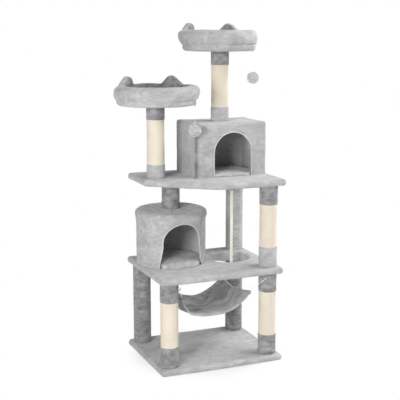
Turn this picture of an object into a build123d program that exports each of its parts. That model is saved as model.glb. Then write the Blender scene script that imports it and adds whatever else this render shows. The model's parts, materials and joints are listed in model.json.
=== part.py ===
from build123d import *
import os
from math import cos, pi, radians, sin, sqrt, tan

# A free-standing cat tree: three plush plates on posts, two condos, two perches with cat ears,
# a hammock, a rope and two pom-poms.
# Millimetres. +Z is up, +X is to the right along the front, and the front faces -Y.
# The origin is the centre of the base plate's underside.

# Plates: a board wrapped in plush
plate_width = 606.0
plate_depth = 494.0
plate_corner_radius = 14.0
board_thickness = 18.0
plush = 6.0
edge_round = 12.0

# Upper plate: set back a little from the others' edges but further out on the right, with its front left
# corner cut off
upper_left_inset = 6.0
upper_right_overhang = 15.0
upper_front_inset = 11.0
upper_back_inset = 7.0
cut_depth = 231.0
cut_length = 276.0
cut_front_radius = 150.0
upper_corner_radius = 14.0

# Posts: a paperboard tube under plush sleeves or wound sisal
tube_diameter = 72.0
tube_wall = 4.0
sisal_thickness = 5.0
post_inset_x = 56.0
post_inset_y = 57.0
lower_post_length = 394.0
upper_post_length = 384.0
foot_sleeve_length = 97.0
head_sleeve_length = 88.0

# Fasteners
plug_length = 30.0
stud_radius = 5.0
bolt_head_radius = 9.0
bolt_head_height = 5.0
bolt_head_room = 2.0
screw_radius = 2.2
screw_head_radius = 5.0
screw_head_height = 3.0
screw_head_room = 1.0
screw_bite = 9.0

# Hole in the middle plate, from the plate's edges
hole_from_right = 156.0
hole_from_back = 197.0
hole_radius = 106.0

# Round condo on the middle plate, its axis from the plate's edges
condo_from_left = 166.0
condo_from_back = 171.0
condo_radius = 164.0
condo_height = 258.0
condo_roof_overhang = 6.0
wall_thickness = 6.0
lining = 3.0
condo_floor_thickness = 24.0
condo_screw_circle = 100.0
condo_door_half_foot = 108.0
condo_door_half_spring = 91.0
condo_door_header = 47.0
condo_door_rise = 106.0

# Box condo on the upper plate, its sides from the plate's edges
box_from_right = 22.0
box_from_back = 50.0
box_width = 360.0
box_depth = 250.0
box_height = 252.0
box_corner_radius = 12.0
box_top_round = 11.0
box_plush = 6.5
panel_thickness = 12.0
box_floor_thickness = 14.0
box_door_offset = 9.0
box_door_half_width = 97.0
box_door_header = 43.0
box_screw_x = 100.0
box_screw_y = 60.0

# Perches and their posts: the left one from the upper plate's edges, the top one from the box's middle
left_perch_from_left = 71.0
left_perch_from_back = 208.0
left_perch_radius = 182.0
left_perch_post_length = 335.0
top_perch_offset = -6.0
top_perch_radius = 171.0
top_perch_post_length = 325.0
perch_foot_sleeve_length = 66.0
perch_head_sleeve_length = 63.0
perch_plush = 9.0
rim_height = 63.0
rim_width = 66.0
rim_overhang = 14.0
rim_round = 26.0
left_ear_rise = 39.0
top_ear_rise = 33.0
ear_slope = 42.0
ear_root = 20.0
ear_thickness = 36.0
ear_tip_radius = 30.0
ear_edge_round = 12.0
ear_setback = 4.0
ear_lean = 16.0
ear_angle = 45.0

# Screw eyes and the rings that hang in them
eye_radius = 6.0
eye_wire = 1.5
eye_stem = 3.0
eye_screw = 22.0
ring_radius = 6.0
ring_wire = 1.3
link_clearance = 0.2

# Pom-poms
string_radius = 0.8
string_loop_radius = 3.2
string_bite = 8.0
left_pompom_angle = -40.7
left_pompom_drop = 126.0
left_pompom_radius = 31.0
top_pompom_angle = -55.9
top_pompom_drop = 136.0
top_pompom_radius = 29.0

# Rope through the hole, from the hole's middle
rope_offset_x = 18.0
rope_offset_y = -8.0
rope_radius = 7.5
rope_end_drop = 478.0
rope_knot_radius = 16.0
rope_tail = 26.0
ferrule_wall = 1.5
ferrule_cap = 3.0
ferrule_length = 24.0
ferrule_loop_radius = 4.5

# Hammock under the middle plate
hammock_side_gap = 79.0
hammock_end_gap = 30.0
hammock_corner_drop = 97.0
hammock_side_sag = 25.0
hammock_belly_sag = 87.0
hammock_thickness = 6.0
hammock_arc = 25.0
hammock_eye_drop = 22.0
hammock_eye_angle = 49.0
cord_radius = 1.6
cord_knot_radius = 5.0
cord_knot_gap = 5.0
hem_clearance = 0.3
cord_turn_fit = 0.45

seat_clearance = 0.3

# Levels
plate_thickness = board_thickness + 2 * plush
base_top = plate_thickness
middle_bottom = base_top + lower_post_length
middle_top = middle_bottom + plate_thickness
upper_bottom = middle_top + upper_post_length
upper_top = upper_bottom + plate_thickness
condo_top = middle_top + condo_height
condo_wall_top = condo_top - plate_thickness
box_top = upper_top + box_height
perch_thickness = board_thickness + 2 * perch_plush
left_perch_bottom = upper_top + left_perch_post_length
top_perch_bottom = box_top + top_perch_post_length

# Places
post_x = plate_width / 2 - post_inset_x
post_y = plate_depth / 2 - post_inset_y
front_posts = [(-post_x, -post_y), (post_x, -post_y)]
back_posts = [(-post_x, post_y), (post_x, post_y)]
right_posts = [(post_x, -post_y), (post_x, post_y)]
left_posts = [(-post_x, -post_y), (-post_x, post_y)]
upper_left = upper_left_inset - plate_width / 2
upper_right = plate_width / 2 + upper_right_overhang
upper_front = upper_front_inset - plate_depth / 2
upper_back = plate_depth / 2 - upper_back_inset
hole_x = plate_width / 2 - hole_from_right
hole_y = plate_depth / 2 - hole_from_back
rope_x = hole_x + rope_offset_x
rope_y = hole_y + rope_offset_y
condo_x = condo_from_left - plate_width / 2
condo_y = plate_depth / 2 - condo_from_back
condo_axis = (condo_x, condo_y)
box_x = upper_right - box_from_right - box_width / 2
box_y = upper_back - box_from_back - box_depth / 2
box_door_x = box_x + box_door_offset
left_perch_axis = (upper_left + left_perch_from_left, upper_back - left_perch_from_back)
top_perch_axis = (box_x + top_perch_offset, box_y)
tube_radius = tube_diameter / 2
sleeve_radius = tube_radius + plush
sisal_radius = tube_radius + sisal_thickness
plug_radius = tube_radius - tube_wall

STAND = (Align.CENTER, Align.CENTER, Align.MIN)


def keep(piece, name):
    """Label a finished piece and write its STEP file."""
    piece.part.label = name
    export_step(piece.part, f"parts/{name}.step")


def drill(spots, radius, low, high):
    """Cut an upright hole at each spot, between two levels."""
    with Locations(*[(x, y, low) for x, y in spots]):
        Cylinder(radius, high - low, align=STAND, mode=Mode.SUBTRACT)


def tubes(name, spots, inner, outer, low, high, holes=()):
    """Write upright tubes, one at each spot, with the screw eyes' holes cut in them."""
    with BuildPart() as stack:
        with BuildSketch(Plane.XY.offset(low)):
            with Locations(*spots):
                Circle(outer)
                Circle(inner, mode=Mode.SUBTRACT)
        extrude(amount=high - low)
        for foot, out in holes:
            eye_hole(foot, out)
    keep(stack, name)


def eye_hole(foot, out):
    """Cut the hole for a screw eye's thread, into the surface at foot."""
    with Locations(Plane(origin=foot - out * eye_screw, z_dir=out)):
        Cylinder(eye_wire, eye_screw + eye_stem, align=STAND, mode=Mode.SUBTRACT)


def level(angle):
    """Horizontal direction at an angle from +X, in degrees."""
    return Vector(cos(radians(angle)), sin(radians(angle)), 0)


# Screw eyes: where each is screwed in, which way it stands out, and the axis of its hole
def perch_eye(axis, radius, bottom, angle):
    """Screw eye in the edge of a perch, halfway up its board."""
    out = level(angle)
    foot = Vector(*axis, bottom + perch_thickness / 2) + out * radius
    return foot, out, level(angle + 90)


def hammock_eye(side, end):
    """Screw eye on the inner face of a lower post, turned towards the hammock's corner."""
    out = Vector(-side * cos(radians(hammock_eye_angle)), end * sin(radians(hammock_eye_angle)), 0)
    foot = Vector(side * post_x, end * post_y, middle_bottom - hammock_eye_drop) + out * sleeve_radius
    pull = foot + out * (eye_stem + eye_radius) - hammock_corner(side, end)
    return foot, out, (pull - out * pull.dot(out)).normalized()


def eye_centre(eye):
    """Centre of a screw eye's loop."""
    foot, out, _ = eye
    return foot + out * (eye_stem + eye_radius)


hammock_half_width = post_x - hammock_side_gap
hammock_half_depth = post_y - hammock_end_gap
hammock_corner_z = middle_bottom - hammock_corner_drop
hammock_side_z = hammock_corner_z - hammock_side_sag
# Radius and centre height of the arc that a side edge hangs in
side_arc_radius = (hammock_half_depth**2 + hammock_side_sag**2) / (2 * hammock_side_sag)
side_arc_z = hammock_side_z + side_arc_radius


def hammock_corner(side, end):
    """Corner of the hammock's cloth, where its cord leaves the hem."""
    return Vector(side * hammock_half_width, end * hammock_half_depth, hammock_corner_z)


left_pompom_eye = perch_eye(left_perch_axis, left_perch_radius, left_perch_bottom, left_pompom_angle)
top_pompom_eye = perch_eye(top_perch_axis, top_perch_radius, top_perch_bottom, top_pompom_angle)
rope_eye = (Vector(rope_x, rope_y, upper_bottom), Vector(0, 0, -1), Vector(0, 1, 0))
front_hammock_eyes = [hammock_eye(side, -1) for side in (-1, 1)]
back_hammock_eyes = [hammock_eye(side, 1) for side in (-1, 1)]
hammock_eyes = front_hammock_eyes + back_hammock_eyes
all_eyes = hammock_eyes + [rope_eye, left_pompom_eye, top_pompom_eye]


def screws_of(eyes):
    """Foot and direction of each screw eye, for the holes."""
    return [(foot, out) for foot, out, _ in eyes]


os.makedirs("parts", exist_ok=True)

# Joints between posts and plates: the spot, and the lowest and highest level of the stud
plate_bite = plush + board_thickness
perch_bite = perch_plush + board_thickness
box_bite = box_plush + panel_thickness
studs = [
    (left_posts, middle_bottom - plug_length, middle_bottom + plate_bite),
    (right_posts, middle_bottom - plug_length, middle_top + plug_length),
    (right_posts, upper_bottom - plug_length, upper_bottom + plate_bite),
    ([condo_axis], upper_bottom - plug_length, upper_bottom + plate_bite),
    ([condo_axis], condo_top - plate_bite, condo_top + plug_length),
    ([left_perch_axis], upper_top - plate_bite, upper_top + plug_length),
    ([left_perch_axis], left_perch_bottom - plug_length, left_perch_bottom + perch_bite),
    ([top_perch_axis], box_top - box_bite, box_top + plug_length),
    ([top_perch_axis], top_perch_bottom - plug_length, top_perch_bottom + perch_bite),
]
posts = [
    (front_posts + back_posts, base_top, middle_bottom),
    (right_posts, middle_top, upper_bottom),
    ([condo_axis], condo_top, upper_bottom),
    ([left_perch_axis], upper_top, left_perch_bottom),
    ([top_perch_axis], box_top, top_perch_bottom),
]


def drill_studs():
    """Cut every stud's hole that meets the piece being built."""
    for spots, low, high in studs:
        drill(spots, stud_radius, low, high)


def ring_of_spots(centre, radius, count):
    """Spots evenly round a centre, the first at 45 degrees."""
    step = 360 / count
    return [
        (centre[0] + radius * level(45 + step * i).X, centre[1] + radius * level(45 + step * i).Y)
        for i in range(count)
    ]


condo_screws = ring_of_spots(condo_axis, condo_screw_circle, 4)
box_screws = [
    (box_x + across * box_screw_x, box_y + deep * box_screw_y) for across in (-1, 1) for deep in (-1, 1)
]


def drill_screws(spots, bottom, floor_bite):
    """Cut the holes of the screws that come up through a plate into a condo's floor."""
    drill(spots, screw_head_radius + screw_head_room, bottom, bottom + plush)
    drill(spots, screw_radius, bottom, bottom + plate_thickness + floor_bite)


# Base plate
base_bolt_spots = front_posts + back_posts
bolt_top = base_top + plug_length
with BuildPart() as base_board:
    with BuildSketch(Plane.XY.offset(plush)):
        RectangleRounded(plate_width - 2 * plush, plate_depth - 2 * plush, plate_corner_radius - plush)
    extrude(amount=board_thickness)
    drill(base_bolt_spots, stud_radius, 0, bolt_top)
keep(base_board, "base_board")

with BuildPart() as base_cover:
    with BuildSketch():
        RectangleRounded(plate_width, plate_depth, plate_corner_radius)
    extrude(amount=plate_thickness)
    rims = base_cover.faces().sort_by(Axis.Z)
    fillet(rims[0].edges() + rims[-1].edges(), edge_round)
    add(base_board.part, mode=Mode.SUBTRACT)
    drill(base_bolt_spots, bolt_head_radius + bolt_head_room, 0, plush)
    drill(base_bolt_spots, stud_radius, 0, bolt_top)
keep(base_cover, "base_cover")

with BuildPart() as base_bolts:
    with Locations(*[(x, y, plush) for x, y in base_bolt_spots]):
        Cylinder(stud_radius, bolt_top - plush, align=STAND)
        Cylinder(bolt_head_radius, bolt_head_height, align=(Align.CENTER, Align.CENTER, Align.MAX))
keep(base_bolts, "base_bolts")

# Middle plate, with the round hole
with BuildPart() as middle_board:
    with BuildSketch(Plane.XY.offset(middle_bottom + plush)):
        RectangleRounded(plate_width - 2 * plush, plate_depth - 2 * plush, plate_corner_radius - plush)
        with Locations((hole_x, hole_y)):
            Circle(hole_radius + plush, mode=Mode.SUBTRACT)
    extrude(amount=board_thickness)
    drill_studs()
    drill(condo_screws, screw_radius, middle_bottom, middle_top)
keep(middle_board, "middle_board")

with BuildPart() as middle_cover:
    with BuildSketch(Plane.XY.offset(middle_bottom)):
        RectangleRounded(plate_width, plate_depth, plate_corner_radius)
        with Locations((hole_x, hole_y)):
            Circle(hole_radius, mode=Mode.SUBTRACT)
    extrude(amount=plate_thickness)
    rims = middle_cover.faces().sort_by(Axis.Z)
    fillet(rims[0].edges() + rims[-1].edges(), edge_round)
    add(middle_board.part, mode=Mode.SUBTRACT)
    drill_studs()
    drill_screws(condo_screws, middle_bottom, 0)
keep(middle_cover, "middle_cover")

# Upper plate, with its front left corner cut off
upper_points = [
    (upper_left, upper_back),
    (upper_left, upper_front + cut_depth),
    (upper_left + cut_length, upper_front),
    (upper_right, upper_front),
    (upper_right, upper_back),
]
upper_radii = [upper_corner_radius] * 2 + [cut_front_radius] + [upper_corner_radius] * 2
with BuildSketch() as upper_plan:
    with BuildLine():
        FilletPolyline(*upper_points, radius=upper_radii, close=True)
    make_face()

with BuildPart() as upper_board:
    with BuildSketch(Plane.XY.offset(upper_bottom + plush)):
        add(upper_plan.sketch)
        offset(amount=-plush)
    extrude(amount=board_thickness)
    drill_studs()
    drill(box_screws, screw_radius, upper_bottom, upper_top)
    eye_hole(*rope_eye[:2])
keep(upper_board, "upper_board")

with BuildPart() as upper_cover:
    with BuildSketch(Plane.XY.offset(upper_bottom)):
        add(upper_plan.sketch)
    extrude(amount=plate_thickness)
    rims = upper_cover.faces().sort_by(Axis.Z)
    fillet(rims[0].edges() + rims[-1].edges(), edge_round)
    add(upper_board.part, mode=Mode.SUBTRACT)
    drill_studs()
    drill_screws(box_screws, upper_bottom, 0)
    eye_hole(*rope_eye[:2])
keep(upper_cover, "upper_cover")

# Post cores
with BuildPart() as post_tubes:
    for spots, low, high in posts:
        with Locations(*[(x, y, low) for x, y in spots]):
            Cylinder(tube_radius, high - low, align=STAND)
        drill(spots, plug_radius, low, high)
    for foot, out in screws_of(hammock_eyes):
        eye_hole(foot, out)
keep(post_tubes, "post_tubes")

with BuildPart() as post_end_plugs:
    for spots, low, high in posts:
        with Locations(*[(x, y, z) for x, y in spots for z in (low, high - plug_length)]):
            Cylinder(plug_radius, plug_length, align=STAND)
    drill(base_bolt_spots, stud_radius, base_top, bolt_top)
    drill_studs()
    for foot, out in screws_of(hammock_eyes):
        eye_hole(foot, out)
keep(post_end_plugs, "post_end_plugs")

with BuildPart() as joint_studs:
    for spots, low, high in studs:
        with Locations(*[(x, y, low) for x, y in spots]):
            Cylinder(stud_radius, high - low, align=STAND)
keep(joint_studs, "joint_studs")


# Post covers: plush all the way up, or a sleeve at each end with sisal wound between them
def sisal_post(prefix, spots, low, high, foot, head, holes=()):
    """Write the foot sleeves, the sisal and the head sleeves of posts that stand side by side."""
    tubes(f"{prefix}_foot_sleeve", spots, tube_radius, sleeve_radius, low, low + foot)
    tubes(f"{prefix}_sisal", spots, tube_radius, sisal_radius, low + foot, high - head)
    tubes(f"{prefix}_head_sleeve", spots, tube_radius, sleeve_radius, high - head, high, holes)


for side, spot, eye in zip(("left", "right"), front_posts, front_hammock_eyes):
    sisal_post(
        f"lower_front_{side}_post", [spot], base_top, middle_bottom, foot_sleeve_length, head_sleeve_length,
        screws_of([eye]),
    )
for side, spot, eye in zip(("left", "right"), back_posts, back_hammock_eyes):
    tubes(
        f"lower_back_{side}_post_sleeve", [spot], tube_radius, sleeve_radius, base_top, middle_bottom,
        screws_of([eye]),
    )
sisal_post(
    "upper_front_post", right_posts[:1], middle_top, upper_bottom, foot_sleeve_length, head_sleeve_length
)
tubes("upper_back_post_sleeve", right_posts[1:], tube_radius, sleeve_radius, middle_top, upper_bottom)
tubes("condo_post_sleeve", [condo_axis], tube_radius, sleeve_radius, condo_top, upper_bottom)
sisal_post(
    "left_perch_post", [left_perch_axis], upper_top, left_perch_bottom,
    perch_foot_sleeve_length, perch_head_sleeve_length,
)
sisal_post(
    "top_perch_post", [top_perch_axis], box_top, top_perch_bottom,
    perch_foot_sleeve_length, perch_head_sleeve_length,
)

# Round condo: a bent wall with an arched door, wrapped and lined with plush
condo_front = Plane(origin=(condo_x, condo_y, middle_top), x_dir=(1, 0, 0), z_dir=(0, -1, 0))
condo_inner_radius = condo_radius - plush - wall_thickness - lining
condo_door_height = condo_height - condo_door_header
condo_door_spring = condo_door_height - condo_door_rise
with BuildSketch() as condo_door:
    with BuildLine():
        Line((-condo_door_half_foot, 0), (-condo_door_half_spring, condo_door_spring))
        ThreePointArc(
            (-condo_door_half_spring, condo_door_spring),
            (0, condo_door_height),
            (condo_door_half_spring, condo_door_spring),
        )
        Line((condo_door_half_spring, condo_door_spring), (condo_door_half_foot, 0))
        Line((condo_door_half_foot, 0), (-condo_door_half_foot, 0))
    make_face()

with BuildPart() as round_condo_wall:
    with BuildSketch(Plane.XY.offset(middle_top)):
        with Locations(condo_axis):
            Circle(condo_radius - plush)
            Circle(condo_radius - plush - wall_thickness, mode=Mode.SUBTRACT)
    extrude(amount=condo_wall_top - middle_top)
    with BuildSketch(condo_front):
        add(condo_door.sketch)
        offset(amount=plush)
    extrude(amount=condo_radius, mode=Mode.SUBTRACT)
keep(round_condo_wall, "round_condo_wall")

with BuildPart() as round_condo_cover:
    with BuildSketch(Plane.XY.offset(middle_top)):
        with Locations(condo_axis):
            Circle(condo_radius)
            Circle(condo_inner_radius, mode=Mode.SUBTRACT)
    extrude(amount=condo_wall_top - middle_top)
    with BuildSketch(condo_front):
        add(condo_door.sketch)
    extrude(amount=condo_radius, mode=Mode.SUBTRACT)
    add(round_condo_wall.part, mode=Mode.SUBTRACT)
keep(round_condo_cover, "round_condo_cover")

condo_roof_radius = condo_radius + condo_roof_overhang
with BuildPart() as round_condo_roof_board:
    with Locations((condo_x, condo_y, condo_wall_top + plush)):
        Cylinder(condo_roof_radius - plush, board_thickness, align=STAND)
    drill_studs()
keep(round_condo_roof_board, "round_condo_roof_board")

with BuildPart() as round_condo_roof_cover:
    with Locations((condo_x, condo_y, condo_wall_top)):
        Cylinder(condo_roof_radius, plate_thickness, align=STAND)
    rims = round_condo_roof_cover.faces().sort_by(Axis.Z)
    fillet(rims[0].edges() + rims[-1].edges(), edge_round)
    add(round_condo_roof_board.part, mode=Mode.SUBTRACT)
    drill_studs()
keep(round_condo_roof_cover, "round_condo_roof_cover")

with BuildPart() as round_condo_floor:
    with Locations((condo_x, condo_y, middle_top)):
        Cylinder(condo_inner_radius - seat_clearance, condo_floor_thickness, align=STAND)
    with BuildSketch(Plane.XY.offset(middle_top)):
        with Locations(condo_axis):
            Circle(condo_radius)
        tongue = condo_door_half_spring - seat_clearance
        with Locations(condo_axis):
            Rectangle(2 * tongue, condo_radius, align=(Align.CENTER, Align.MAX), mode=Mode.INTERSECT)
    extrude(amount=condo_floor_thickness)
    drill_screws(condo_screws, middle_bottom, screw_bite)
keep(round_condo_floor, "round_condo_floor")

# Box condo: four walls and a roof, wrapped and lined with plush
box_inset = box_plush + panel_thickness + lining
box_front_y = box_y - box_depth / 2
box_door_foot = (box_door_x, box_front_y + box_inset, upper_top)
box_door_plane = Plane(origin=box_door_foot, x_dir=(1, 0, 0), z_dir=(0, -1, 0))
panel_top = box_top - box_plush - panel_thickness
panel_height = panel_top - upper_top
box_door_spring = box_height - box_door_header - box_door_half_width
with BuildSketch() as box_door:
    Rectangle(2 * box_door_half_width, box_door_spring, align=(Align.CENTER, Align.MIN))
    with Locations((0, box_door_spring)):
        Circle(box_door_half_width)

side_panel_depth = box_depth - 2 * (box_plush + panel_thickness)
wall_middle = box_plush + panel_thickness / 2

with BuildPart() as box_condo_front_panel:
    with Locations((box_x, box_front_y + wall_middle, upper_top)):
        Box(box_width - 2 * box_plush, panel_thickness, panel_height, align=STAND)
    with BuildSketch(box_door_plane):
        add(box_door.sketch)
        offset(amount=box_plush)
    extrude(amount=box_inset, mode=Mode.SUBTRACT)
keep(box_condo_front_panel, "box_condo_front_panel")

with BuildPart() as box_condo_back_panel:
    with Locations((box_x, box_y + box_depth / 2 - wall_middle, upper_top)):
        Box(box_width - 2 * box_plush, panel_thickness, panel_height, align=STAND)
keep(box_condo_back_panel, "box_condo_back_panel")

with BuildPart() as box_condo_side_panels:
    side_middle = box_width / 2 - wall_middle
    with Locations((box_x - side_middle, box_y, upper_top), (box_x + side_middle, box_y, upper_top)):
        Box(panel_thickness, side_panel_depth, panel_height, align=STAND)
keep(box_condo_side_panels, "box_condo_side_panels")

with BuildPart() as box_condo_roof_panel:
    with BuildSketch(Plane.XY.offset(panel_top)):
        with Locations((box_x, box_y)):
            RectangleRounded(
                box_width - 2 * box_plush, box_depth - 2 * box_plush, box_corner_radius - box_plush
            )
    extrude(amount=panel_thickness)
    drill_studs()
keep(box_condo_roof_panel, "box_condo_roof_panel")

cabin_width = box_width - 2 * box_inset
cabin_depth = box_depth - 2 * box_inset
with BuildPart() as box_condo_cover:
    with BuildSketch(Plane.XY.offset(upper_top)):
        with Locations((box_x, box_y)):
            RectangleRounded(box_width, box_depth, box_corner_radius)
    extrude(amount=box_height)
    fillet(box_condo_cover.faces().sort_by(Axis.Z)[-1].edges(), box_top_round)
    with Locations((box_x, box_y, upper_top)):
        Box(cabin_width, cabin_depth, panel_height - lining, align=STAND, mode=Mode.SUBTRACT)
    with BuildSketch(box_door_plane):
        add(box_door.sketch)
    extrude(amount=box_inset, mode=Mode.SUBTRACT)
    for panel in (box_condo_front_panel, box_condo_back_panel, box_condo_side_panels, box_condo_roof_panel):
        add(panel.part, mode=Mode.SUBTRACT)
    drill_studs()
keep(box_condo_cover, "box_condo_cover")

with BuildPart() as box_condo_floor:
    with Locations((box_x, box_y, upper_top)):
        Box(
            cabin_width - 2 * seat_clearance, cabin_depth - 2 * seat_clearance, box_floor_thickness,
            align=STAND,
        )
    with Locations((box_door_x, box_front_y, upper_top)):
        Box(
            2 * (box_door_half_width - seat_clearance), cabin_depth / 2, box_floor_thickness,
            align=(Align.CENTER, Align.MIN, Align.MIN),
        )
    drill_screws(box_screws, upper_bottom, screw_bite)
keep(box_condo_floor, "box_condo_floor")

with BuildPart() as condo_floor_screws:
    for spots, bottom in ((condo_screws, middle_bottom), (box_screws, upper_bottom)):
        with Locations(*[(x, y, bottom + plush) for x, y in spots]):
            Cylinder(screw_radius, board_thickness + plush + screw_bite, align=STAND)
            Cylinder(screw_head_radius, screw_head_height, align=(Align.CENTER, Align.CENTER, Align.MAX))
keep(condo_floor_screws, "condo_floor_screws")


# Perches: a wrapped round board with a stuffed rim that has two cat ears
def ear(axis, radius, top, angle, rise):
    """A rounded triangular flap that stands on the rim and leans towards the perch's axis."""
    out = level(angle)
    lean = radians(ear_lean)
    face = out * cos(lean) + Vector(0, 0, sin(lean))
    middle = radius + rim_overhang - rim_width / 2 - ear_setback
    origin = Vector(*axis, top) + out * middle - face * (ear_thickness / 2)
    plane = Plane(origin=origin, x_dir=level(angle + 90), z_dir=face)
    # The sides touch the tip's circle, so they meet above it
    slope = radians(ear_slope)
    peak = rise + ear_tip_radius * (1 / cos(slope) - 1)
    half_width = (peak + ear_root) / tan(slope)
    with BuildPart() as flap:
        with BuildSketch(plane) as triangle:
            with BuildLine():
                Polyline((-half_width, -ear_root), (half_width, -ear_root), (0, peak), close=True)
            make_face()
            fillet(triangle.vertices().sort_by(Axis.Y)[-1], ear_tip_radius)
        extrude(amount=ear_thickness)
        face_edges = flap.faces().filter_by(Axis(plane.origin, plane.z_dir)).edges()
        fillet(face_edges.sort_by(Axis.Z)[2:], ear_edge_round)
    return flap.part


def perch(name, axis, radius, bottom, eye, ear_rise):
    """Write a perch's board, its plush cover and its rim."""
    seam = bottom + perch_thickness
    with BuildPart() as board:
        with Locations((*axis, bottom + perch_plush)):
            Cylinder(radius - perch_plush, board_thickness, align=STAND)
        drill_studs()
        eye_hole(*eye[:2])
    keep(board, f"{name}_board")

    with BuildPart() as cover:
        with Locations((*axis, bottom)):
            Cylinder(radius, perch_thickness, align=STAND)
        ends = cover.faces().sort_by(Axis.Z)
        fillet(ends[0].edges() + ends[-1].edges(), edge_round)
        add(board.part, mode=Mode.SUBTRACT)
        drill_studs()
        eye_hole(*eye[:2])
    keep(cover, f"{name}_cover")

    top = seam + rim_height
    ears = [ear(axis, radius, top, 90 + turn, ear_rise) for turn in (-ear_angle, ear_angle)]
    with BuildPart() as rim:
        with BuildSketch(Plane(origin=(*axis, seam), x_dir=(1, 0, 0), z_dir=(0, -1, 0))):
            with Locations((radius + rim_overhang - rim_width / 2, rim_height / 2)):
                RectangleRounded(rim_width, rim_height, rim_round)
        revolve(axis=Axis((*axis, 0), (0, 0, 1)))
        for flap in ears:
            add(flap)
    keep(rim, f"{name}_rim")


perch("left_perch", left_perch_axis, left_perch_radius, left_perch_bottom, left_pompom_eye, left_ear_rise)
perch("top_perch", top_perch_axis, top_perch_radius, top_perch_bottom, top_pompom_eye, top_ear_rise)

# Screw eyes
with BuildPart() as screw_eyes:
    for foot, out, hole in all_eyes:
        with Locations(Plane(origin=foot + out * (eye_stem + eye_radius), z_dir=hole)):
            Torus(eye_radius, eye_wire)
        with Locations(Plane(origin=foot - out * eye_screw, z_dir=out)):
            Cylinder(eye_wire, eye_screw + eye_stem, align=STAND)
keep(screw_eyes, "screw_eyes")


# What hangs in an eye: the ring turns about the eye's lowest point, the next link about the ring's
def upper_pivot(eye):
    """Lowest point of the eye's wire."""
    return eye_centre(eye) - Vector(0, 0, eye_radius)


def lower_pivot(eye):
    """Lowest point of the ring's wire."""
    return upper_pivot(eye) + Vector(0, 0, eye_wire + ring_wire + link_clearance - 2 * ring_radius)


def hanging_ring(name, eye):
    """Write the ring that hangs in an eye, turned square to it."""
    centre = lower_pivot(eye) + Vector(0, 0, ring_radius)
    with BuildPart() as ring:
        with Locations(Plane(origin=centre, z_dir=eye[2].cross(Vector(0, 0, 1)))):
            Torus(ring_radius, ring_wire)
    keep(ring, name)


def pompom(name, eye, drop, radius):
    """Write a pom-pom's ring, its string with a loop at the top, and its ball."""
    hanging_ring(f"{name}_ring", eye)
    loop = lower_pivot(eye) + Vector(0, 0, ring_wire + string_radius + link_clearance - string_loop_radius)
    centre = eye_centre(eye) - Vector(0, 0, drop)
    string_end = centre + Vector(0, 0, radius - string_bite)
    string_length = loop.Z - string_loop_radius - string_end.Z
    with BuildPart() as string:
        with Locations(Plane(origin=loop, z_dir=eye[2])):
            Torus(string_loop_radius, string_radius)
        with Locations(string_end):
            Cylinder(string_radius, string_length, align=STAND)
    keep(string, f"{name}_string")

    with BuildPart() as ball:
        with Locations(centre):
            Sphere(radius)
        with Locations(string_end):
            Cylinder(string_radius, 2 * string_bite, align=STAND, mode=Mode.SUBTRACT)
    keep(ball, f"{name}_ball")
    print(f"{name}: string end {string_end}, ball centre {centre}")
    print("  pivots", upper_pivot(eye), lower_pivot(eye))


pompom("left_pompom", left_pompom_eye, left_pompom_drop, left_pompom_radius)
pompom("top_pompom", top_pompom_eye, top_pompom_drop, top_pompom_radius)

# Rope: a ferrule with a loop on top, and a knot near the lower end
hanging_ring("rope_ring", rope_eye)
ferrule_loop = lower_pivot(rope_eye) + Vector(0, 0, 2 * ring_wire + link_clearance - ferrule_loop_radius)
ferrule_top = ferrule_loop.Z - ferrule_loop_radius
rope_end_z = eye_centre(rope_eye).Z - rope_end_drop
with BuildPart() as rope_ferrule:
    with Locations(Plane(origin=ferrule_loop, z_dir=rope_eye[2])):
        Torus(ferrule_loop_radius, ring_wire)
    with Locations((rope_x, rope_y, ferrule_top - ferrule_length)):
        Cylinder(rope_radius + ferrule_wall, ferrule_length, align=STAND)
    drill([(rope_x, rope_y)], rope_radius, ferrule_top - ferrule_length, ferrule_top - ferrule_cap)
keep(rope_ferrule, "rope_ferrule")

with BuildPart() as rope:
    with Locations((rope_x, rope_y, rope_end_z)):
        Cylinder(rope_radius, ferrule_top - ferrule_cap - rope_end_z, align=STAND)
    with Locations((rope_x, rope_y, rope_end_z + rope_tail + rope_knot_radius)):
        Sphere(rope_knot_radius)
keep(rope, "rope")
print("rope: pivots", upper_pivot(rope_eye), lower_pivot(rope_eye), "end", rope_end_z)

# Hammock: a sagging cloth between two cords that run through its side hems
cloth_half_width = hammock_half_width - cord_radius - hem_clearance
belly_z = hammock_side_z - hammock_belly_sag
under_side_z = hammock_side_z - hammock_thickness
under_belly_z = belly_z - hammock_thickness
left_edge, right_edge = (-cloth_half_width, hammock_side_z), (cloth_half_width, hammock_side_z)
left_under, right_under = (-cloth_half_width, under_side_z), (cloth_half_width, under_side_z)
with BuildPart() as hammock_cloth:
    with BuildSketch(Plane.XZ):
        with BuildLine():
            ThreePointArc(left_edge, (0, belly_z), right_edge)
            Line(right_edge, right_under)
            ThreePointArc(right_under, (0, under_belly_z), left_under)
            Line(left_under, left_edge)
        make_face()
    side_axis = Axis((0, 0, side_arc_z), (1, 0, 0))
    revolve(axis=side_axis, revolution_arc=hammock_arc)
    mirror(about=Plane.XZ)
    with Locations((0, 0, hammock_side_z)):
        Box(plate_width, 2 * hammock_half_depth, lower_post_length, mode=Mode.INTERSECT)
keep(hammock_cloth, "hammock_cloth")


def turn_radii(points):
    """Largest radius that each inner corner of a route has room for."""
    radii = []
    for before, here, after in zip(points, points[1:], points[2:]):
        shorter = min((here - before).length, (after - here).length)
        half_turn = (here - before).get_angle(after - here) / 2
        radii.append(cord_turn_fit * shorter / tan(radians(half_turn)))
    return radii


def hem_point(side, y):
    """Point on the arc that a side hem hangs in."""
    return Vector(side * hammock_half_width, y, side_arc_z - sqrt(side_arc_radius**2 - y**2))


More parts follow.
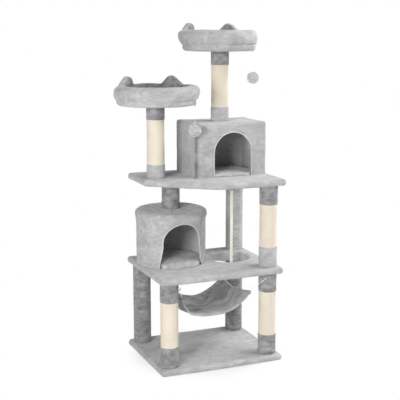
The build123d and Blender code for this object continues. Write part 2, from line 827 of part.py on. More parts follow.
for side_name, side in (("left", -1), ("right", 1)):
    half = []
    for end in (-1, 1):
        corner = hammock_corner(side, end)
        centre = eye_centre(hammock_eye(side, end))
        knot = centre + (centre - corner).normalized() * cord_knot_gap
        half.append([knot, corner, hem_point(side, end * hammock_half_depth / 2)])
    route = half[0] + [hem_point(side, 0)] + half[1][::-1]
    radii = turn_radii(route)
    with BuildPart() as cord:
        with BuildLine() as run:
            FilletPolyline(*route, radius=radii)
        with BuildSketch(Plane(origin=run.line @ 0, z_dir=run.line % 0)):
            Circle(cord_radius)
        sweep()
        tube_volume = cord.part.volume
        with Locations(route[0], route[-1]):
            Sphere(cord_knot_radius)
    keep(cord, f"hammock_{side_name}_cord")
    length = run.wire().length
    expected = pi * cord_radius**2 * length
    print(f"{side_name} cord: length {length:.1f}, volume {tube_volume:.1f} of {expected:.1f}")
    print("  points", [tuple(round(v, 1) for v in p) for p in route])
    print("  radii", [round(r, 1) for r in radii])
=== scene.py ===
"""Looks of a tall plush cat tree, modelled around its packed construction.

Everything is in metres, in the frame of the construction: +Z is up, +X is to the right along the front, and the
front faces -Y. The plush, the sisal, the cords and the pom-poms are modelled here. The boards, tubes and metal
pieces are the construction's own solids with a finish.
"""

from __future__ import annotations

import json
import logging
import math
import random
from dataclasses import dataclass
from enum import Enum
from typing import Callable, Iterable, Sequence

import bmesh
import bpy
from mathutils import Matrix, Vector, noise


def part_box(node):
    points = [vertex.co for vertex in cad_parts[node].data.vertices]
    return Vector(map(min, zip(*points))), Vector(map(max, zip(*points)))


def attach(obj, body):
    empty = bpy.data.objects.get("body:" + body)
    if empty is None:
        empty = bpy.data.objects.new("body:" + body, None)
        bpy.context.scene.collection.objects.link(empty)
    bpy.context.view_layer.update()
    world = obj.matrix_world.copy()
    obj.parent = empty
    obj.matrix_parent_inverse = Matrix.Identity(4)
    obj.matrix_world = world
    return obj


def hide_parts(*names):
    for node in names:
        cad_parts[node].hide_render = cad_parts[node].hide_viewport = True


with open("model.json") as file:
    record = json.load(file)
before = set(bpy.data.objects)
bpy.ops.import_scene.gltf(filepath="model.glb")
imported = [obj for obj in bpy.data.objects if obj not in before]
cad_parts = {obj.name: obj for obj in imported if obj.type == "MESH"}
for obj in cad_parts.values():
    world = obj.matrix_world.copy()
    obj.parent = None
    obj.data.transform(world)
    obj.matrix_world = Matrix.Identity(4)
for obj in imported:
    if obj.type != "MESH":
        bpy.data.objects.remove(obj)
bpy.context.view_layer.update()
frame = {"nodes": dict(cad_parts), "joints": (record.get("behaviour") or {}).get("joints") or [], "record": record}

MM = 0.001
# Name of the attribute that says how much painted shade lies in a seam or a fold, from 0 to 1
CREASE_SHADE = "crease_shade"
log = logging.getLogger("cat_tree")

Flat = tuple[float, float]
Settings = dict[str, object]


class Body(Enum):
    """Bodies of the construction that pieces ride on."""

    TOWER = "tower"
    ROPE = "rope_body"
    LEFT_POMPOM = "left_pompom_body"
    TOP_POMPOM = "top_pompom_body"


class Slot(Enum):
    """Material slots of the record."""

    PLUSH = "plush"
    SISAL = "sisal"
    BOARD = "particle_board"
    TUBE = "paperboard"
    PLUG = "plug_wood"
    STEEL = "zinc_steel"
    HAMMOCK = "hammock_plush"
    CORD = "white_cord"
    YARN = "pompom_yarn"
    ROPE = "sisal_rope"


# Materials


def linear(hex_colour: str) -> tuple[float, float, float, float]:
    """Turn an sRGB hex colour into a linear colour.

    Args:
        hex_colour: Six hex digits with a leading hash sign.

    Returns:
        Red, green, blue and alpha for a shader socket.
    """
    channels = [int(hex_colour[i : i + 2], 16) / 255 for i in (1, 3, 5)]
    light = [c / 12.92 if c <= 0.04045 else ((c + 0.055) / 1.055) ** 2.4 for c in channels]
    return light[0], light[1], light[2], 1.0


def add_node(
    tree: bpy.types.NodeTree, kind: str, settings: Settings | None = None, inputs: dict | None = None
) -> bpy.types.Node:
    """Add a node with its settings, and link or set its inputs.

    Args:
        tree: Node tree that gets the node.
        kind: Blender's name of the node type.
        settings: Values of the node's own properties.
        inputs: A socket to link or a value to set, for each input's name or number.

    Returns:
        The new node.
    """
    node = tree.nodes.new(kind)
    for name, value in (settings or {}).items():
        setattr(node, name, value)
    for key, value in (inputs or {}).items():
        if isinstance(value, bpy.types.NodeSocket):
            tree.links.new(value, node.inputs[key])
        else:
            node.inputs[key].default_value = value
    return node


def new_material(name: str) -> tuple[bpy.types.Material, bpy.types.NodeTree, bpy.types.Node]:
    """Make a material with a plain principled surface.

    Args:
        name: The material's common name.

    Returns:
        The material, its node tree and its surface node.
    """
    material = bpy.data.materials.new(name)
    material.use_nodes = True
    tree = material.node_tree
    return material, tree, tree.nodes["Principled BSDF"]


def set_ramp(node: bpy.types.Node, stops: Sequence[tuple[float, str]]) -> None:
    """Give a colour ramp its stops.

    Args:
        node: The colour ramp.
        stops: Position and sRGB hex colour of each stop, in order.
    """
    ramp = node.color_ramp
    while len(ramp.elements) < len(stops):
        ramp.elements.new(0.5)
    for element, (position, colour) in zip(ramp.elements, stops):
        element.position = position
        element.color = linear(colour)


@dataclass(frozen=True)
class Plush:
    """Polyester plush: a short sheared pile that brushes into lighter and darker patches, with a soft sheen."""

    name: str
    dark: str
    middle: str
    light: str
    patch: float = 75 * MM
    streak: float = 16 * MM
    # The real pile is under 1 mm thick. It is drawn coarser, so that it shows
    pile: float = 5 * MM
    bump: float = 1.6 * MM
    sheen: float = 0.3
    # Colour that the plush is multiplied towards where painted shade lies in a seam or a fold
    painted_shade: str = "#a6a6a8"

    def material(self) -> bpy.types.Material:
        """Build the material."""
        material, tree, surface = new_material(self.name)
        place = add_node(tree, "ShaderNodeTexCoord").outputs["Object"]
        patches = add_node(
            tree, "ShaderNodeTexNoise", None,
            {"Vector": place, "Scale": 1 / self.patch, "Detail": 4.0, "Roughness": 0.62, "Distortion": 0.9},
        )
        brushed = add_node(
            tree, "ShaderNodeMapping", None,
            {"Vector": place, "Rotation": (0.15, 0.1, 0.25), "Scale": (0.3, 0.75, 1.0)},
        )
        streaks = add_node(
            tree, "ShaderNodeTexNoise", None,
            {"Vector": brushed.outputs[0], "Scale": 1 / self.streak, "Detail": 2.0, "Distortion": 0.7},
        )
        pile = add_node(
            tree, "ShaderNodeTexNoise", None,
            {"Vector": place, "Scale": 1 / self.pile, "Detail": 2.0, "Roughness": 0.7},
        )
        fine = add_node(tree, "ShaderNodeMath", {"operation": "MULTIPLY"}, {0: pile.outputs[0], 1: 0.12})
        brushing = add_node(
            tree, "ShaderNodeMath", {"operation": "MULTIPLY_ADD"},
            {0: streaks.outputs[0], 1: 0.4, 2: fine.outputs[0]},
        )
        nap = add_node(
            tree, "ShaderNodeMath", {"operation": "MULTIPLY_ADD"},
            {0: patches.outputs[0], 1: 0.48, 2: brushing.outputs[0]},
        )
        tone = add_node(tree, "ShaderNodeValToRGB", None, {"Fac": nap.outputs[0]})
        set_ramp(tone, [(0.37, self.dark), (0.5, self.middle), (0.63, self.light)])
        # Painted shade: the colour is darkened where the crease shade attribute is set, in seams and folds
        crease_shade = add_node(tree, "ShaderNodeAttribute", {"attribute_name": CREASE_SHADE})
        shaded = add_node(
            tree, "ShaderNodeMix", {"data_type": "RGBA", "blend_type": "MULTIPLY"},
            {0: crease_shade.outputs["Fac"], 6: tone.outputs[0], 7: linear(self.painted_shade)},
        )
        height = add_node(
            tree, "ShaderNodeMath", {"operation": "MULTIPLY_ADD"},
            {0: streaks.outputs[0], 1: 0.8, 2: pile.outputs[0]},
        )
        relief = add_node(
            tree, "ShaderNodeBump", None, {"Height": height.outputs[0], "Strength": 0.55, "Distance": self.bump}
        )
        tree.links.new(shaded.outputs[2], surface.inputs["Base Color"])
        tree.links.new(relief.outputs[0], surface.inputs["Normal"])
        surface.inputs["Roughness"].default_value = 0.95
        surface.inputs["Specular IOR Level"].default_value = 0.15
        surface.inputs["Sheen Weight"].default_value = self.sheen
        surface.inputs["Sheen Roughness"].default_value = 0.5
        return material


@dataclass(frozen=True)
class TwistedFibre:
    """Sisal: dry pale leaf fibre laid up in strands, which run aslant along the rope and stand out in low relief.

    The piece's UV map runs along the rope in U and across it in V, in metres.
    """

    name: str
    dark: str
    light: str
    strand: float = 5 * MM
    fibre: float = 1.5 * MM
    blotch: float = 70 * MM

    def material(self) -> bpy.types.Material:
        """Build the material."""
        material, tree, surface = new_material(self.name)
        coordinates = add_node(tree, "ShaderNodeTexCoord")
        slant = add_node(
            tree, "ShaderNodeMapping", None,
            {"Vector": coordinates.outputs["UV"], "Rotation": (0.0, 0.0, math.radians(40))},
        )
        strands = add_node(
            tree, "ShaderNodeTexWave", {"wave_type": "BANDS", "bands_direction": "X"},
            {"Vector": slant.outputs[0], "Scale": 0.314 / self.strand, "Distortion": 0.6, "Detail": 1.0},
        )
        fibres = add_node(
            tree, "ShaderNodeTexNoise", None,
            {"Vector": slant.outputs[0], "Scale": 1 / self.fibre, "Detail": 2.0, "Roughness": 0.65},
        )
        blotches = add_node(
            tree, "ShaderNodeTexNoise", None,
            {"Vector": coordinates.outputs["Object"], "Scale": 1 / self.blotch, "Detail": 2.0},
        )
        shade = add_node(tree, "ShaderNodeMath", {"operation": "MULTIPLY"}, {0: strands.outputs["Fac"], 1: 0.25})
        mottled = add_node(
            tree, "ShaderNodeMath", {"operation": "MULTIPLY_ADD"},
            {0: fibres.outputs[0], 1: 0.3, 2: shade.outputs[0]},
        )
        tint = add_node(
            tree, "ShaderNodeMath", {"operation": "MULTIPLY_ADD"},
            {0: blotches.outputs[0], 1: 0.45, 2: mottled.outputs[0]},
        )
        tone = add_node(tree, "ShaderNodeValToRGB", None, {"Fac": tint.outputs[0]})
        set_ramp(tone, [(0.3, self.dark), (0.66, self.light)])
        height = add_node(
            tree, "ShaderNodeMath", {"operation": "MULTIPLY_ADD"},
            {0: fibres.outputs[0], 1: 0.5, 2: strands.outputs["Fac"]},
        )
        relief = add_node(
            tree, "ShaderNodeBump", None, {"Height": height.outputs[0], "Strength": 0.5, "Distance": 0.6 * MM}
        )
        tree.links.new(tone.outputs[0], surface.inputs["Base Color"])
        tree.links.new(relief.outputs[0], surface.inputs["Normal"])
        surface.inputs["Roughness"].default_value = 0.85
        surface.inputs["Specular IOR Level"].default_value = 0.25
        return material


@dataclass(frozen=True)
class Grained:
    """A dry, matt surface with a plain grain, such as chipboard, paperboard, softwood, cord or cut yarn."""

    name: str
    dark: str
    light: str
    grain: float
    stretch: tuple[float, float, float] = (1.0, 1.0, 1.0)
    roughness: float = 0.85
    relief: float = 0.4 * MM

    def material(self) -> bpy.types.Material:
        """Build the material."""
        material, tree, surface = new_material(self.name)
        place = add_node(tree, "ShaderNodeTexCoord").outputs["Object"]
        along = add_node(tree, "ShaderNodeMapping", None, {"Vector": place, "Scale": self.stretch})
        grain = add_node(
            tree, "ShaderNodeTexNoise", None,
            {"Vector": along.outputs[0], "Scale": 1 / self.grain, "Detail": 4.0, "Roughness": 0.6},
        )
        tone = add_node(tree, "ShaderNodeValToRGB", None, {"Fac": grain.outputs[0]})
        set_ramp(tone, [(0.35, self.dark), (0.65, self.light)])
        relief = add_node(
            tree, "ShaderNodeBump", None, {"Height": grain.outputs[0], "Strength": 0.4, "Distance": self.relief}
        )
        tree.links.new(tone.outputs[0], surface.inputs["Base Color"])
        tree.links.new(relief.outputs[0], surface.inputs["Normal"])
        surface.inputs["Roughness"].default_value = self.roughness
        surface.inputs["Specular IOR Level"].default_value = 0.3
        return material


@dataclass(frozen=True)
class ZincSteel:
    """Zinc plated steel wire: bright and slightly cloudy, with faint draw marks."""

    name: str
    dark: str
    light: str
    cloud: float = 4 * MM

    def material(self) -> bpy.types.Material:
        """Build the material."""
        material, tree, surface = new_material(self.name)
        place = add_node(tree, "ShaderNodeTexCoord").outputs["Object"]
        cloud = add_node(
            tree, "ShaderNodeTexNoise", None, {"Vector": place, "Scale": 1 / self.cloud, "Detail": 3.0}
        )
        tone = add_node(tree, "ShaderNodeValToRGB", None, {"Fac": cloud.outputs[0]})
        set_ramp(tone, [(0.3, self.dark), (0.7, self.light)])
        gloss = add_node(
            tree, "ShaderNodeMapRange", None, {"Value": cloud.outputs[0], "To Min": 0.38, "To Max": 0.55}
        )
        tree.links.new(tone.outputs[0], surface.inputs["Base Color"])
        tree.links.new(gloss.outputs[0], surface.inputs["Roughness"])
        surface.inputs["Metallic"].default_value = 1.0
        return material


class Finishes:
    """Every material of the tree, made once."""

    def __init__(self) -> None:
        """Make the materials."""
        self.plush = Plush("silver_plush", "#a0a0a1", "#b0b0b1", "#c2c2c3").material()
        # The darker plush is painted shade on the sleeves under the plates and inside the perches' rims, and a plainly
        # darker tone on the other sleeves
        self.brushed = Plush("shaded_plush", "#747475", "#8f8f91", "#a8a8aa", patch=45 * MM).material()
        self.curled = Plush(
            "curled_plush", "#8c8c8d", "#c0c0c1", "#e2e2e3", patch=24 * MM, streak=7 * MM, bump=2.4 * MM
        ).material()
        self.lining = Plush("plush_lining", "#b4b4b5", "#c0c0c1", "#cccccd", sheen=0.1).material()
        self.pad = Plush("plush_floor_pad", "#a0a0a1", "#bababb", "#d2d2d3", patch=30 * MM, streak=8 * MM).material()
        self.hammock = Plush("hammock_plush", "#929294", "#a9a9ab", "#c2c2c4", patch=60 * MM).material()
        self.binding = Plush("plush_binding", "#bebebf", "#c9c9ca", "#d4d4d5", patch=30 * MM).material()
        self.sisal = TwistedFibre("wound_sisal", "#ddd1be", "#ece4d6").material()
        self.rope = TwistedFibre("twisted_sisal", "#ebe7da", "#f8f6ef").material()
        self.cord = Grained("white_polyester_cord", "#f0f0ee", "#fbfbfa", 1.2 * MM).material()
        self.yarn = Grained("cut_acrylic_yarn", "#c6c6c7", "#e2e2e3", 9 * MM, roughness=0.95).material()
        self.board = Grained("particle_board", "#94784f", "#b59a70", 6 * MM).material()
        self.tube = Grained("paperboard", "#8a6f4c", "#a98c66", 12 * MM, (1.0, 1.0, 3.0)).material()
        self.plug = Grained("turned_softwood", "#c29a63", "#d9b988", 5 * MM, (1.0, 1.0, 0.1)).material()
        self.steel = ZincSteel("zinc_plated_steel", "#7d7f81", "#a2a4a6").material()


# Mesh helpers


def to_object(bm: bmesh.types.BMesh, name: str, sharp: float = 55.0) -> bpy.types.Object:
    """Turn a bmesh into a smooth shaded object at the origin.

    Args:
        bm: The bmesh, which is freed.
        name: Name of the piece.
        sharp: Angle in degrees from which an edge stays sharp.

    Returns:
        The new object.
    """
    mesh = bpy.data.meshes.new(name)
    bm.to_mesh(mesh)
    bm.free()
    mesh.shade_smooth()
    mesh.set_sharp_from_angle(angle=math.radians(sharp))
    made = bpy.data.objects.new(name, mesh)
    bpy.context.scene.collection.objects.link(made)
    return made


def bake(piece: bpy.types.Object) -> None:
    """Replace a piece's mesh by what its modifiers make of it.

    Args:
        piece: The piece, which is left with no modifiers.
    """
    graph = bpy.context.evaluated_depsgraph_get()
    mesh = bpy.data.meshes.new_from_object(piece.evaluated_get(graph), depsgraph=graph)
    piece.modifiers.clear()
    old = piece.data
    piece.data = mesh
    bpy.data.meshes.remove(old)


def remove(piece: bpy.types.Object) -> None:
    """Delete a helper object and its mesh."""
    mesh = piece.data
    bpy.data.objects.remove(piece)
    bpy.data.meshes.remove(mesh)


def join(piece: bpy.types.Object, other: bpy.types.Object) -> None:
    """Add a helper object's mesh to a piece and delete the helper."""
    bm = bmesh.new()
    bm.from_mesh(piece.data)
    bm.from_mesh(other.data)
    bm.to_mesh(piece.data)
    bm.free()
    remove(other)


def carve(piece: bpy.types.Object, cutter: bpy.types.Object) -> None:
    """Cut one closed shape out of another.

    Args:
        piece: The piece that is cut.
        cutter: The shape that is taken away, which is deleted.
    """
    cut = piece.modifiers.new("cut", "BOOLEAN")
    cut.operation = "DIFFERENCE"
    cut.solver = "EXACT"
    cut.object = cutter
    bake(piece)
    remove(cutter)


def slice_cells(bm: bmesh.types.BMesh, step: float, axes: Iterable[int]) -> None:
    """Cut a mesh with evenly spaced planes, so that its flat faces can take a soft surface.

    Args:
        bm: The mesh.
        step: About how far apart the planes are.
        axes: Numbers of the axes that the planes stand across.
    """
    for axis in axes:
        places = [v.co[axis] for v in bm.verts]
        low, high = min(places), max(places)
        count = max(1, round((high - low) / step))
        normal = [float(axis == k) for k in range(3)]
        for i in range(1, count):
            spot = [n * (low + (high - low) * i / count) for n in normal]
            everything = bm.verts[:] + bm.edges[:] + bm.faces[:]
            bmesh.ops.bisect_plane(bm, geom=everything, dist=1e-6, plane_co=spot, plane_no=normal)


def ruffle(piece: bpy.types.Object, depth: float, size: float, seed: float, floor: float = -1.0) -> None:
    """Raise a piece's surface unevenly, as plush lies on a board.

    Args:
        piece: The piece.
        depth: How far a point rises at most.
        size: Width of a hollow or a swelling.
        seed: Shifts the pattern, so that pieces differ.
        floor: Height below which nothing moves.
    """
    shift = Vector((seed, 1.7 * seed, 0.6 * seed))
    mesh = piece.data
    moved = [
        v.co + v.normal * depth * (0.5 + 0.6 * noise.noise(v.co / size + shift)) if v.co.z > floor else v.co.copy()
        for v in mesh.vertices
    ]
    for vertex, place in zip(mesh.vertices, moved):
        vertex.co = place
    mesh.update()


def paint_crease_shade(piece: bpy.types.Object, shares: Sequence[float]) -> None:
    """Note how much painted shade lies on each point of a piece, for its material.

    Args:
        piece: The piece.
        shares: From 0 to 1, for each of its points.
    """
    attribute = piece.data.attributes.new(CREASE_SHADE, "FLOAT", "POINT")
    attribute.data.foreach_set("value", shares)


def lathe(profile: Sequence[Flat], axis: Flat, steps: int) -> bmesh.types.BMesh:
    """Turn a profile round an upright axis into a closed shape.

    Args:
        profile: Radius and height of each point, in order.
        axis: Where the axis stands.
        steps: Faces round the axis.

    Returns:
        The closed shape.
    """
    bm = bmesh.new()
    points = [bm.verts.new((axis[0] + radius, axis[1], z)) for radius, z in profile]
    for first, second in zip(points, points[1:]):
        bm.edges.new((first, second))
    bmesh.ops.spin(
        bm, geom=bm.verts[:] + bm.edges[:], cent=(*axis, 0.0), axis=(0, 0, 1), angle=math.tau, steps=steps,
        use_merge=True,
    )
    bmesh.ops.remove_doubles(bm, verts=bm.verts, dist=0.01 * MM)
    bmesh.ops.recalc_face_normals(bm, faces=bm.faces)
    return bm


def solid_copy(name: str, *nodes: str) -> bpy.types.Object:
    """Copy solids of the construction into one new merged mesh.

    Args:
        name: Name of the new piece.
        nodes: The solids.

    Returns:
        The new piece.
    """
    bm = bmesh.new()
    for node in nodes:
        bm.from_mesh(frame["nodes"][node].data)
    bmesh.ops.remove_doubles(bm, verts=bm.verts, dist=0.001 * MM)
    return to_object(bm, name)


def centre_of(node: str) -> Flat:
    """Middle of a node, seen from above."""
    low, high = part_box(node)
    return (low.x + high.x) / 2, (low.y + high.y) / 2


def dress(
    piece: bpy.types.Object, body: Body, slot: Slot, materials: Sequence[bpy.types.Material], *nodes: str
) -> bpy.types.Object:
    """Give a piece its finish, its body and the nodes that it stands for.

    Args:
        piece: The piece.
        body: The body that it rides on.
        slot: The record's material slot; not used.
        materials: Its materials, in the order of its faces' numbers.
        nodes: Nodes of the construction that it replaces.

    Returns:
        The piece.
    """
    piece.data.materials.clear()
    for material in materials:
        piece.data.materials.append(material)
    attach(piece, body.value)
    if nodes:
        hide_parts(*nodes)
    log.info("%s stands for %s", piece.name, ", ".join(nodes) or "nothing in the construction")
    return piece


def swell(
    piece: bpy.types.Object, voxel: float, held: Callable[[Vector], bool], pressure: float, shrink: float, cap: float
) -> None:
    """Stuff a piece: remesh it evenly, then let a cloth simulation press it outwards.

    Args:
        piece: The piece, a closed shape.
        voxel: Size of the new mesh's cells.
        held: Says of a point whether it is sewn down and stays.
        pressure: Pressure of the stuffing.
        shrink: How far the surface is drawn in first, since it swells.
        cap: The furthest that a point may move.
    """
    remesh = piece.modifiers.new("even", "REMESH")
    remesh.mode = "VOXEL"
    remesh.voxel_size = voxel
    bake(piece)
    mesh = piece.data
    start = [v.co - v.normal * shrink if not held(v.co) else v.co.copy() for v in mesh.vertices]
    for vertex, place in zip(mesh.vertices, start):
        vertex.co = place
    mesh.update()
    sewn = piece.vertex_groups.new(name="sewn")
    sewn.add([v.index for v in mesh.vertices if held(v.co)], 1.0, "REPLACE")
    cloth = piece.modifiers.new("stuffing", "CLOTH")
    cloth.settings.use_pressure = True
    cloth.settings.uniform_pressure_force = pressure
    cloth.settings.vertex_group_mass = sewn.name
    cloth.settings.effector_weights.gravity = 0.0
    run_cloth(piece, SWELL_FRAMES, start, cap)
    smooth = piece.modifiers.new("smooth", "SMOOTH")
    smooth.iterations = 2
    bake(piece)
    piece.data.shade_smooth()


SWELL_FRAMES = 20


def run_cloth(piece: bpy.types.Object, frames: int, start: Sequence[Vector], cap: float) -> None:
    """Run a piece's cloth simulation and keep its last shape.

    Args:
        piece: The piece with a cloth modifier, which is taken off.
        frames: How many frames to run.
        start: The points before the simulation.
        cap: The furthest that a point may move.
    """
    scene = bpy.context.scene
    for number in range(1, frames + 1):
        scene.frame_set(number)
    graph = bpy.context.evaluated_depsgraph_get()
    result = piece.evaluated_get(graph).data
    moves = [after.co - before for after, before in zip(result.vertices, start)]
    piece.modifiers.clear()
    for vertex, before, move in zip(piece.data.vertices, start, moves):
        vertex.co = before + move * min(1.0, cap / max(move.length, 1e-9))
    piece.data.update()
    scene.frame_set(1)


# Studio


@dataclass
class Studio:
    """Camera at the photograph's angle, a pale floor and soft light."""

    eye: Vector = Vector((-1.6384, -3.9146, 1.5368))
    aim: Vector = Vector((-0.0154, 0.0064, 0.754))
    lens: float = 82.21
    middle: Vector = Vector((0.0, 0.0, 0.8))
    lamp_distance: float = 4.0
    surround: float = 0.26
    floor_radius: float = 9.0
    fade_start: float = 0.12
    fade_end: float = 0.4

    def build(self) -> None:
        """Make the camera, the lamps, the world and the floor."""
        bpy.context.scene.view_settings.view_transform = "Standard"
        self.camera()
        self.lamp("key", azimuth=60.0, elevation=46.0, size=2.2, power=99.0)
        self.lamp("left", azimuth=-46.0, elevation=11.0, size=1.3, power=109.0)
        self.lamp("right", azimuth=96.0, elevation=26.0, size=1.8, power=88.0)
        self.world()
        self.floor()

    def camera(self) -> None:
        """Make the camera."""
        data = bpy.data.cameras.new("camera")
        data.lens = self.lens
        data.sensor_width = 36.0
        data.clip_end = 60.0
        camera = bpy.data.objects.new("camera", data)
        camera.location = self.eye
        camera.rotation_mode = "QUATERNION"
        camera.rotation_quaternion = (self.aim - self.eye).to_track_quat("-Z", "Y")
        bpy.context.scene.collection.objects.link(camera)
        bpy.context.scene.camera = camera

    def lamp(self, name: str, azimuth: float, elevation: float, size: float, power: float) -> None:
        """Make a soft lamp that points at the tree.

        Args:
            name: Name of the lamp.
            azimuth: Its direction in degrees, from the front towards the right.
            elevation: Its height in degrees above the tree's middle.
            size: Width of its square face.
            power: Its power in watts.
        """
        around, up = math.radians(azimuth), math.radians(elevation)
        out = Vector((math.sin(around) * math.cos(up), -math.cos(around) * math.cos(up), math.sin(up)))
        place = self.middle + out * self.lamp_distance
        data = bpy.data.lights.new(name, "AREA")
        data.size = size
        data.energy = power
        lamp = bpy.data.objects.new(name, data)
        lamp.location = place
        lamp.rotation_mode = "QUATERNION"
        lamp.rotation_quaternion = out.to_track_quat("Z", "Y")
        bpy.context.scene.collection.objects.link(lamp)

    def world(self) -> None:
        """Light from all round, seen as white by the camera and in reflections."""
        world = bpy.data.worlds.new("studio")
        world.use_nodes = True
        bpy.context.scene.world = world
        tree = world.node_tree
        output = tree.nodes["World Output"]
        around = add_node(tree, "ShaderNodeBackground", None, {"Color": linear("#ffffff"), "Strength": self.surround})
        seen = add_node(tree, "ShaderNodeBackground", None, {"Color": linear("#ffffff"), "Strength": 1.0})
        mix = add_node(
            tree, "ShaderNodeMixShader", None,
            {0: self.seen_directly(tree), 1: around.outputs[0], 2: seen.outputs[0]},
        )
        tree.links.new(mix.outputs[0], output.inputs["Surface"])

    @staticmethod
    def seen_directly(tree: bpy.types.NodeTree) -> bpy.types.NodeSocket:
        """Socket that is one for rays from the camera, from reflections and through glass."""
        path = add_node(tree, "ShaderNodeLightPath")
        first = add_node(
            tree, "ShaderNodeMath", {"operation": "MAXIMUM"},
            {0: path.outputs["Is Camera Ray"], 1: path.outputs["Is Glossy Ray"]},
        )
        both = add_node(
            tree, "ShaderNodeMath", {"operation": "MAXIMUM"},
            {0: first.outputs[0], 1: path.outputs["Is Transmission Ray"]},
        )
        return both.outputs[0]

    def floor(self) -> None:
        """Pale floor that keeps the shadow near the tree and fades to white further out."""
        bm = bmesh.new()
        bmesh.ops.create_circle(bm, cap_ends=True, segments=64, radius=self.floor_radius)
        floor = to_object(bm, "studio_floor")
        material, tree, surface = new_material("pale_floor")
        surface.inputs["Base Color"].default_value = linear("#e4e4e4")
        surface.inputs["Roughness"].default_value = 0.9
        place = add_node(tree, "ShaderNodeTexCoord").outputs["Object"]
        distance = add_node(tree, "ShaderNodeVectorMath", {"operation": "LENGTH"}, {0: place})
        fade = add_node(
            tree, "ShaderNodeMapRange", {"interpolation_type": "SMOOTHSTEP"},
            {"Value": distance.outputs["Value"], "From Min": self.fade_start, "From Max": self.fade_end},
        )
        shown = add_node(
            tree, "ShaderNodeMath", {"operation": "MULTIPLY"}, {0: fade.outputs[0], 1: self.seen_directly(tree)}
        )
        white = add_node(tree, "ShaderNodeEmission", None, {"Color": linear("#ffffff"), "Strength": 1.0})
        mix = add_node(
            tree, "ShaderNodeMixShader", None,
            {0: shown.outputs[0], 1: surface.outputs[0], 2: white.outputs[0]},
        )
        tree.links.new(mix.outputs[0], tree.nodes["Material Output"].inputs["Surface"])
        floor.data.materials.append(material)


# Cords


def cord_curve(name: str, points: Sequence[Vector], radius: float, cyclic: bool = False) -> bpy.types.Object:
    """Make a smooth cord along a route.

    Args:
        name: Name of the cord.
        points: Control points of its line.
        radius: Half its thickness.
        cyclic: Whether the line closes on itself.

    Returns:
        The cord, a curve at the origin.
    """
    data = bpy.data.curves.new(name, "CURVE")
    data.dimensions = "3D"
    data.bevel_depth = radius
    data.bevel_resolution = 3
    data.use_fill_caps = not cyclic
    spline = data.splines.new("NURBS")
    spline.points.add(len(points) - 1)
    for control, point in zip(spline.points, points):
        control.co = (*point, 1.0)
    spline.order_u = 3
    spline.use_cyclic_u = cyclic
    spline.use_endpoint_u = not cyclic
    spline.resolution_u = 12
    made = bpy.data.objects.new(name, data)
    bpy.context.scene.collection.objects.link(made)
    return made


def curve_mesh(curve: bpy.types.Object) -> bpy.types.Object:
    """Turn a curve into a mesh piece of the same name."""
    name = curve.name
    mesh = bpy.data.meshes.new_from_object(curve)
    old = curve.data
    bpy.data.objects.remove(curve)
    bpy.data.curves.remove(old)
    mesh.shade_smooth()
    made = bpy.data.objects.new(name, mesh)
    bpy.context.scene.collection.objects.link(made)
    return made


def centre_line(points: Sequence[Vector]) -> list[Vector]:
    """Points along the smooth line through a route's control points."""
    curve = cord_curve("line", points, 0.0)
    mesh = bpy.data.meshes.new_from_object(curve)
    line = [v.co.copy() for v in mesh.vertices]
    data = curve.data
    bpy.data.objects.remove(curve)
    bpy.data.curves.remove(data)
    bpy.data.meshes.remove(mesh)
    return line


def knot(name: str, centre: Vector, across: Vector, radius: float, spread: float) -> bpy.types.Object:
    """Make a tied overhand knot.

    Args:
        name: Name of the piece.
        centre: Middle of the knot.
        across: Direction that the knot faces.
        radius: Half the cord's thickness.
        spread: Size of the knot's lobes.

    Returns:
        The knot, a mesh.
    """
    turn = across.to_track_quat("Z", "Y").to_matrix()
    points = []
    for i in range(KNOT_POINTS):
        t = math.tau * i / KNOT_POINTS
        lobe = Vector((math.sin(t) + 2 * math.sin(2 * t), math.cos(t) - 2 * math.cos(2 * t), -1.3 * math.sin(3 * t)))
        points.append(centre + turn @ (lobe * spread))
    return curve_mesh(cord_curve(name, points, radius, cyclic=True))


KNOT_POINTS = 30
KNOT_REACH = 3.0


@dataclass
class HammockCords:
    """Two white cords that run from a front eye through a side hem to a back eye, with a knot at each end."""

    finishes: Finishes
    radius: float = 1.6 * MM
    knot_spread: float = 1.0 * MM
    # The right cord's route in millimetres, from the front knot to the back knot
    route: tuple[tuple[float, float, float], ...] = (
        (215.6, -231.6, 405.4),
        (168.0, -160.0, 327.0),
        (168.0, -80.0, 308.1),
        (168.0, 0.0, 302.0),
        (168.0, 80.0, 308.1),
        (168.0, 160.0, 327.0),
        (215.6, 231.6, 405.4),
    )
    length: float = 0.5506

    def points(self, side: int) -> list[Vector]:
        """Control points of one cord, in metres: side is 1 on the right and -1 on the left."""
        return [Vector((side * x, y, z)) * MM for x, y, z in self.route]

    def build(self) -> None:
        """Make both cords and their knots."""
        for side, word in ((-1, "left"), (1, "right")):
            points = self.points(side)
            cord = cord_curve(f"{word}_hammock_cord", points, self.radius)
            dress(cord, Body.TOWER, Slot.CORD, [self.finishes.cord], f"hammock_{word}_cord")
            for end, tip, inner in (("front", points[0], points[1]), ("back", points[-1], points[-2])):
                tied = knot(f"{word}_{end}_cord_knot", tip, tip - inner, self.radius, self.knot_spread)
                dress(tied, Body.TOWER, Slot.CORD, [self.finishes.cord])


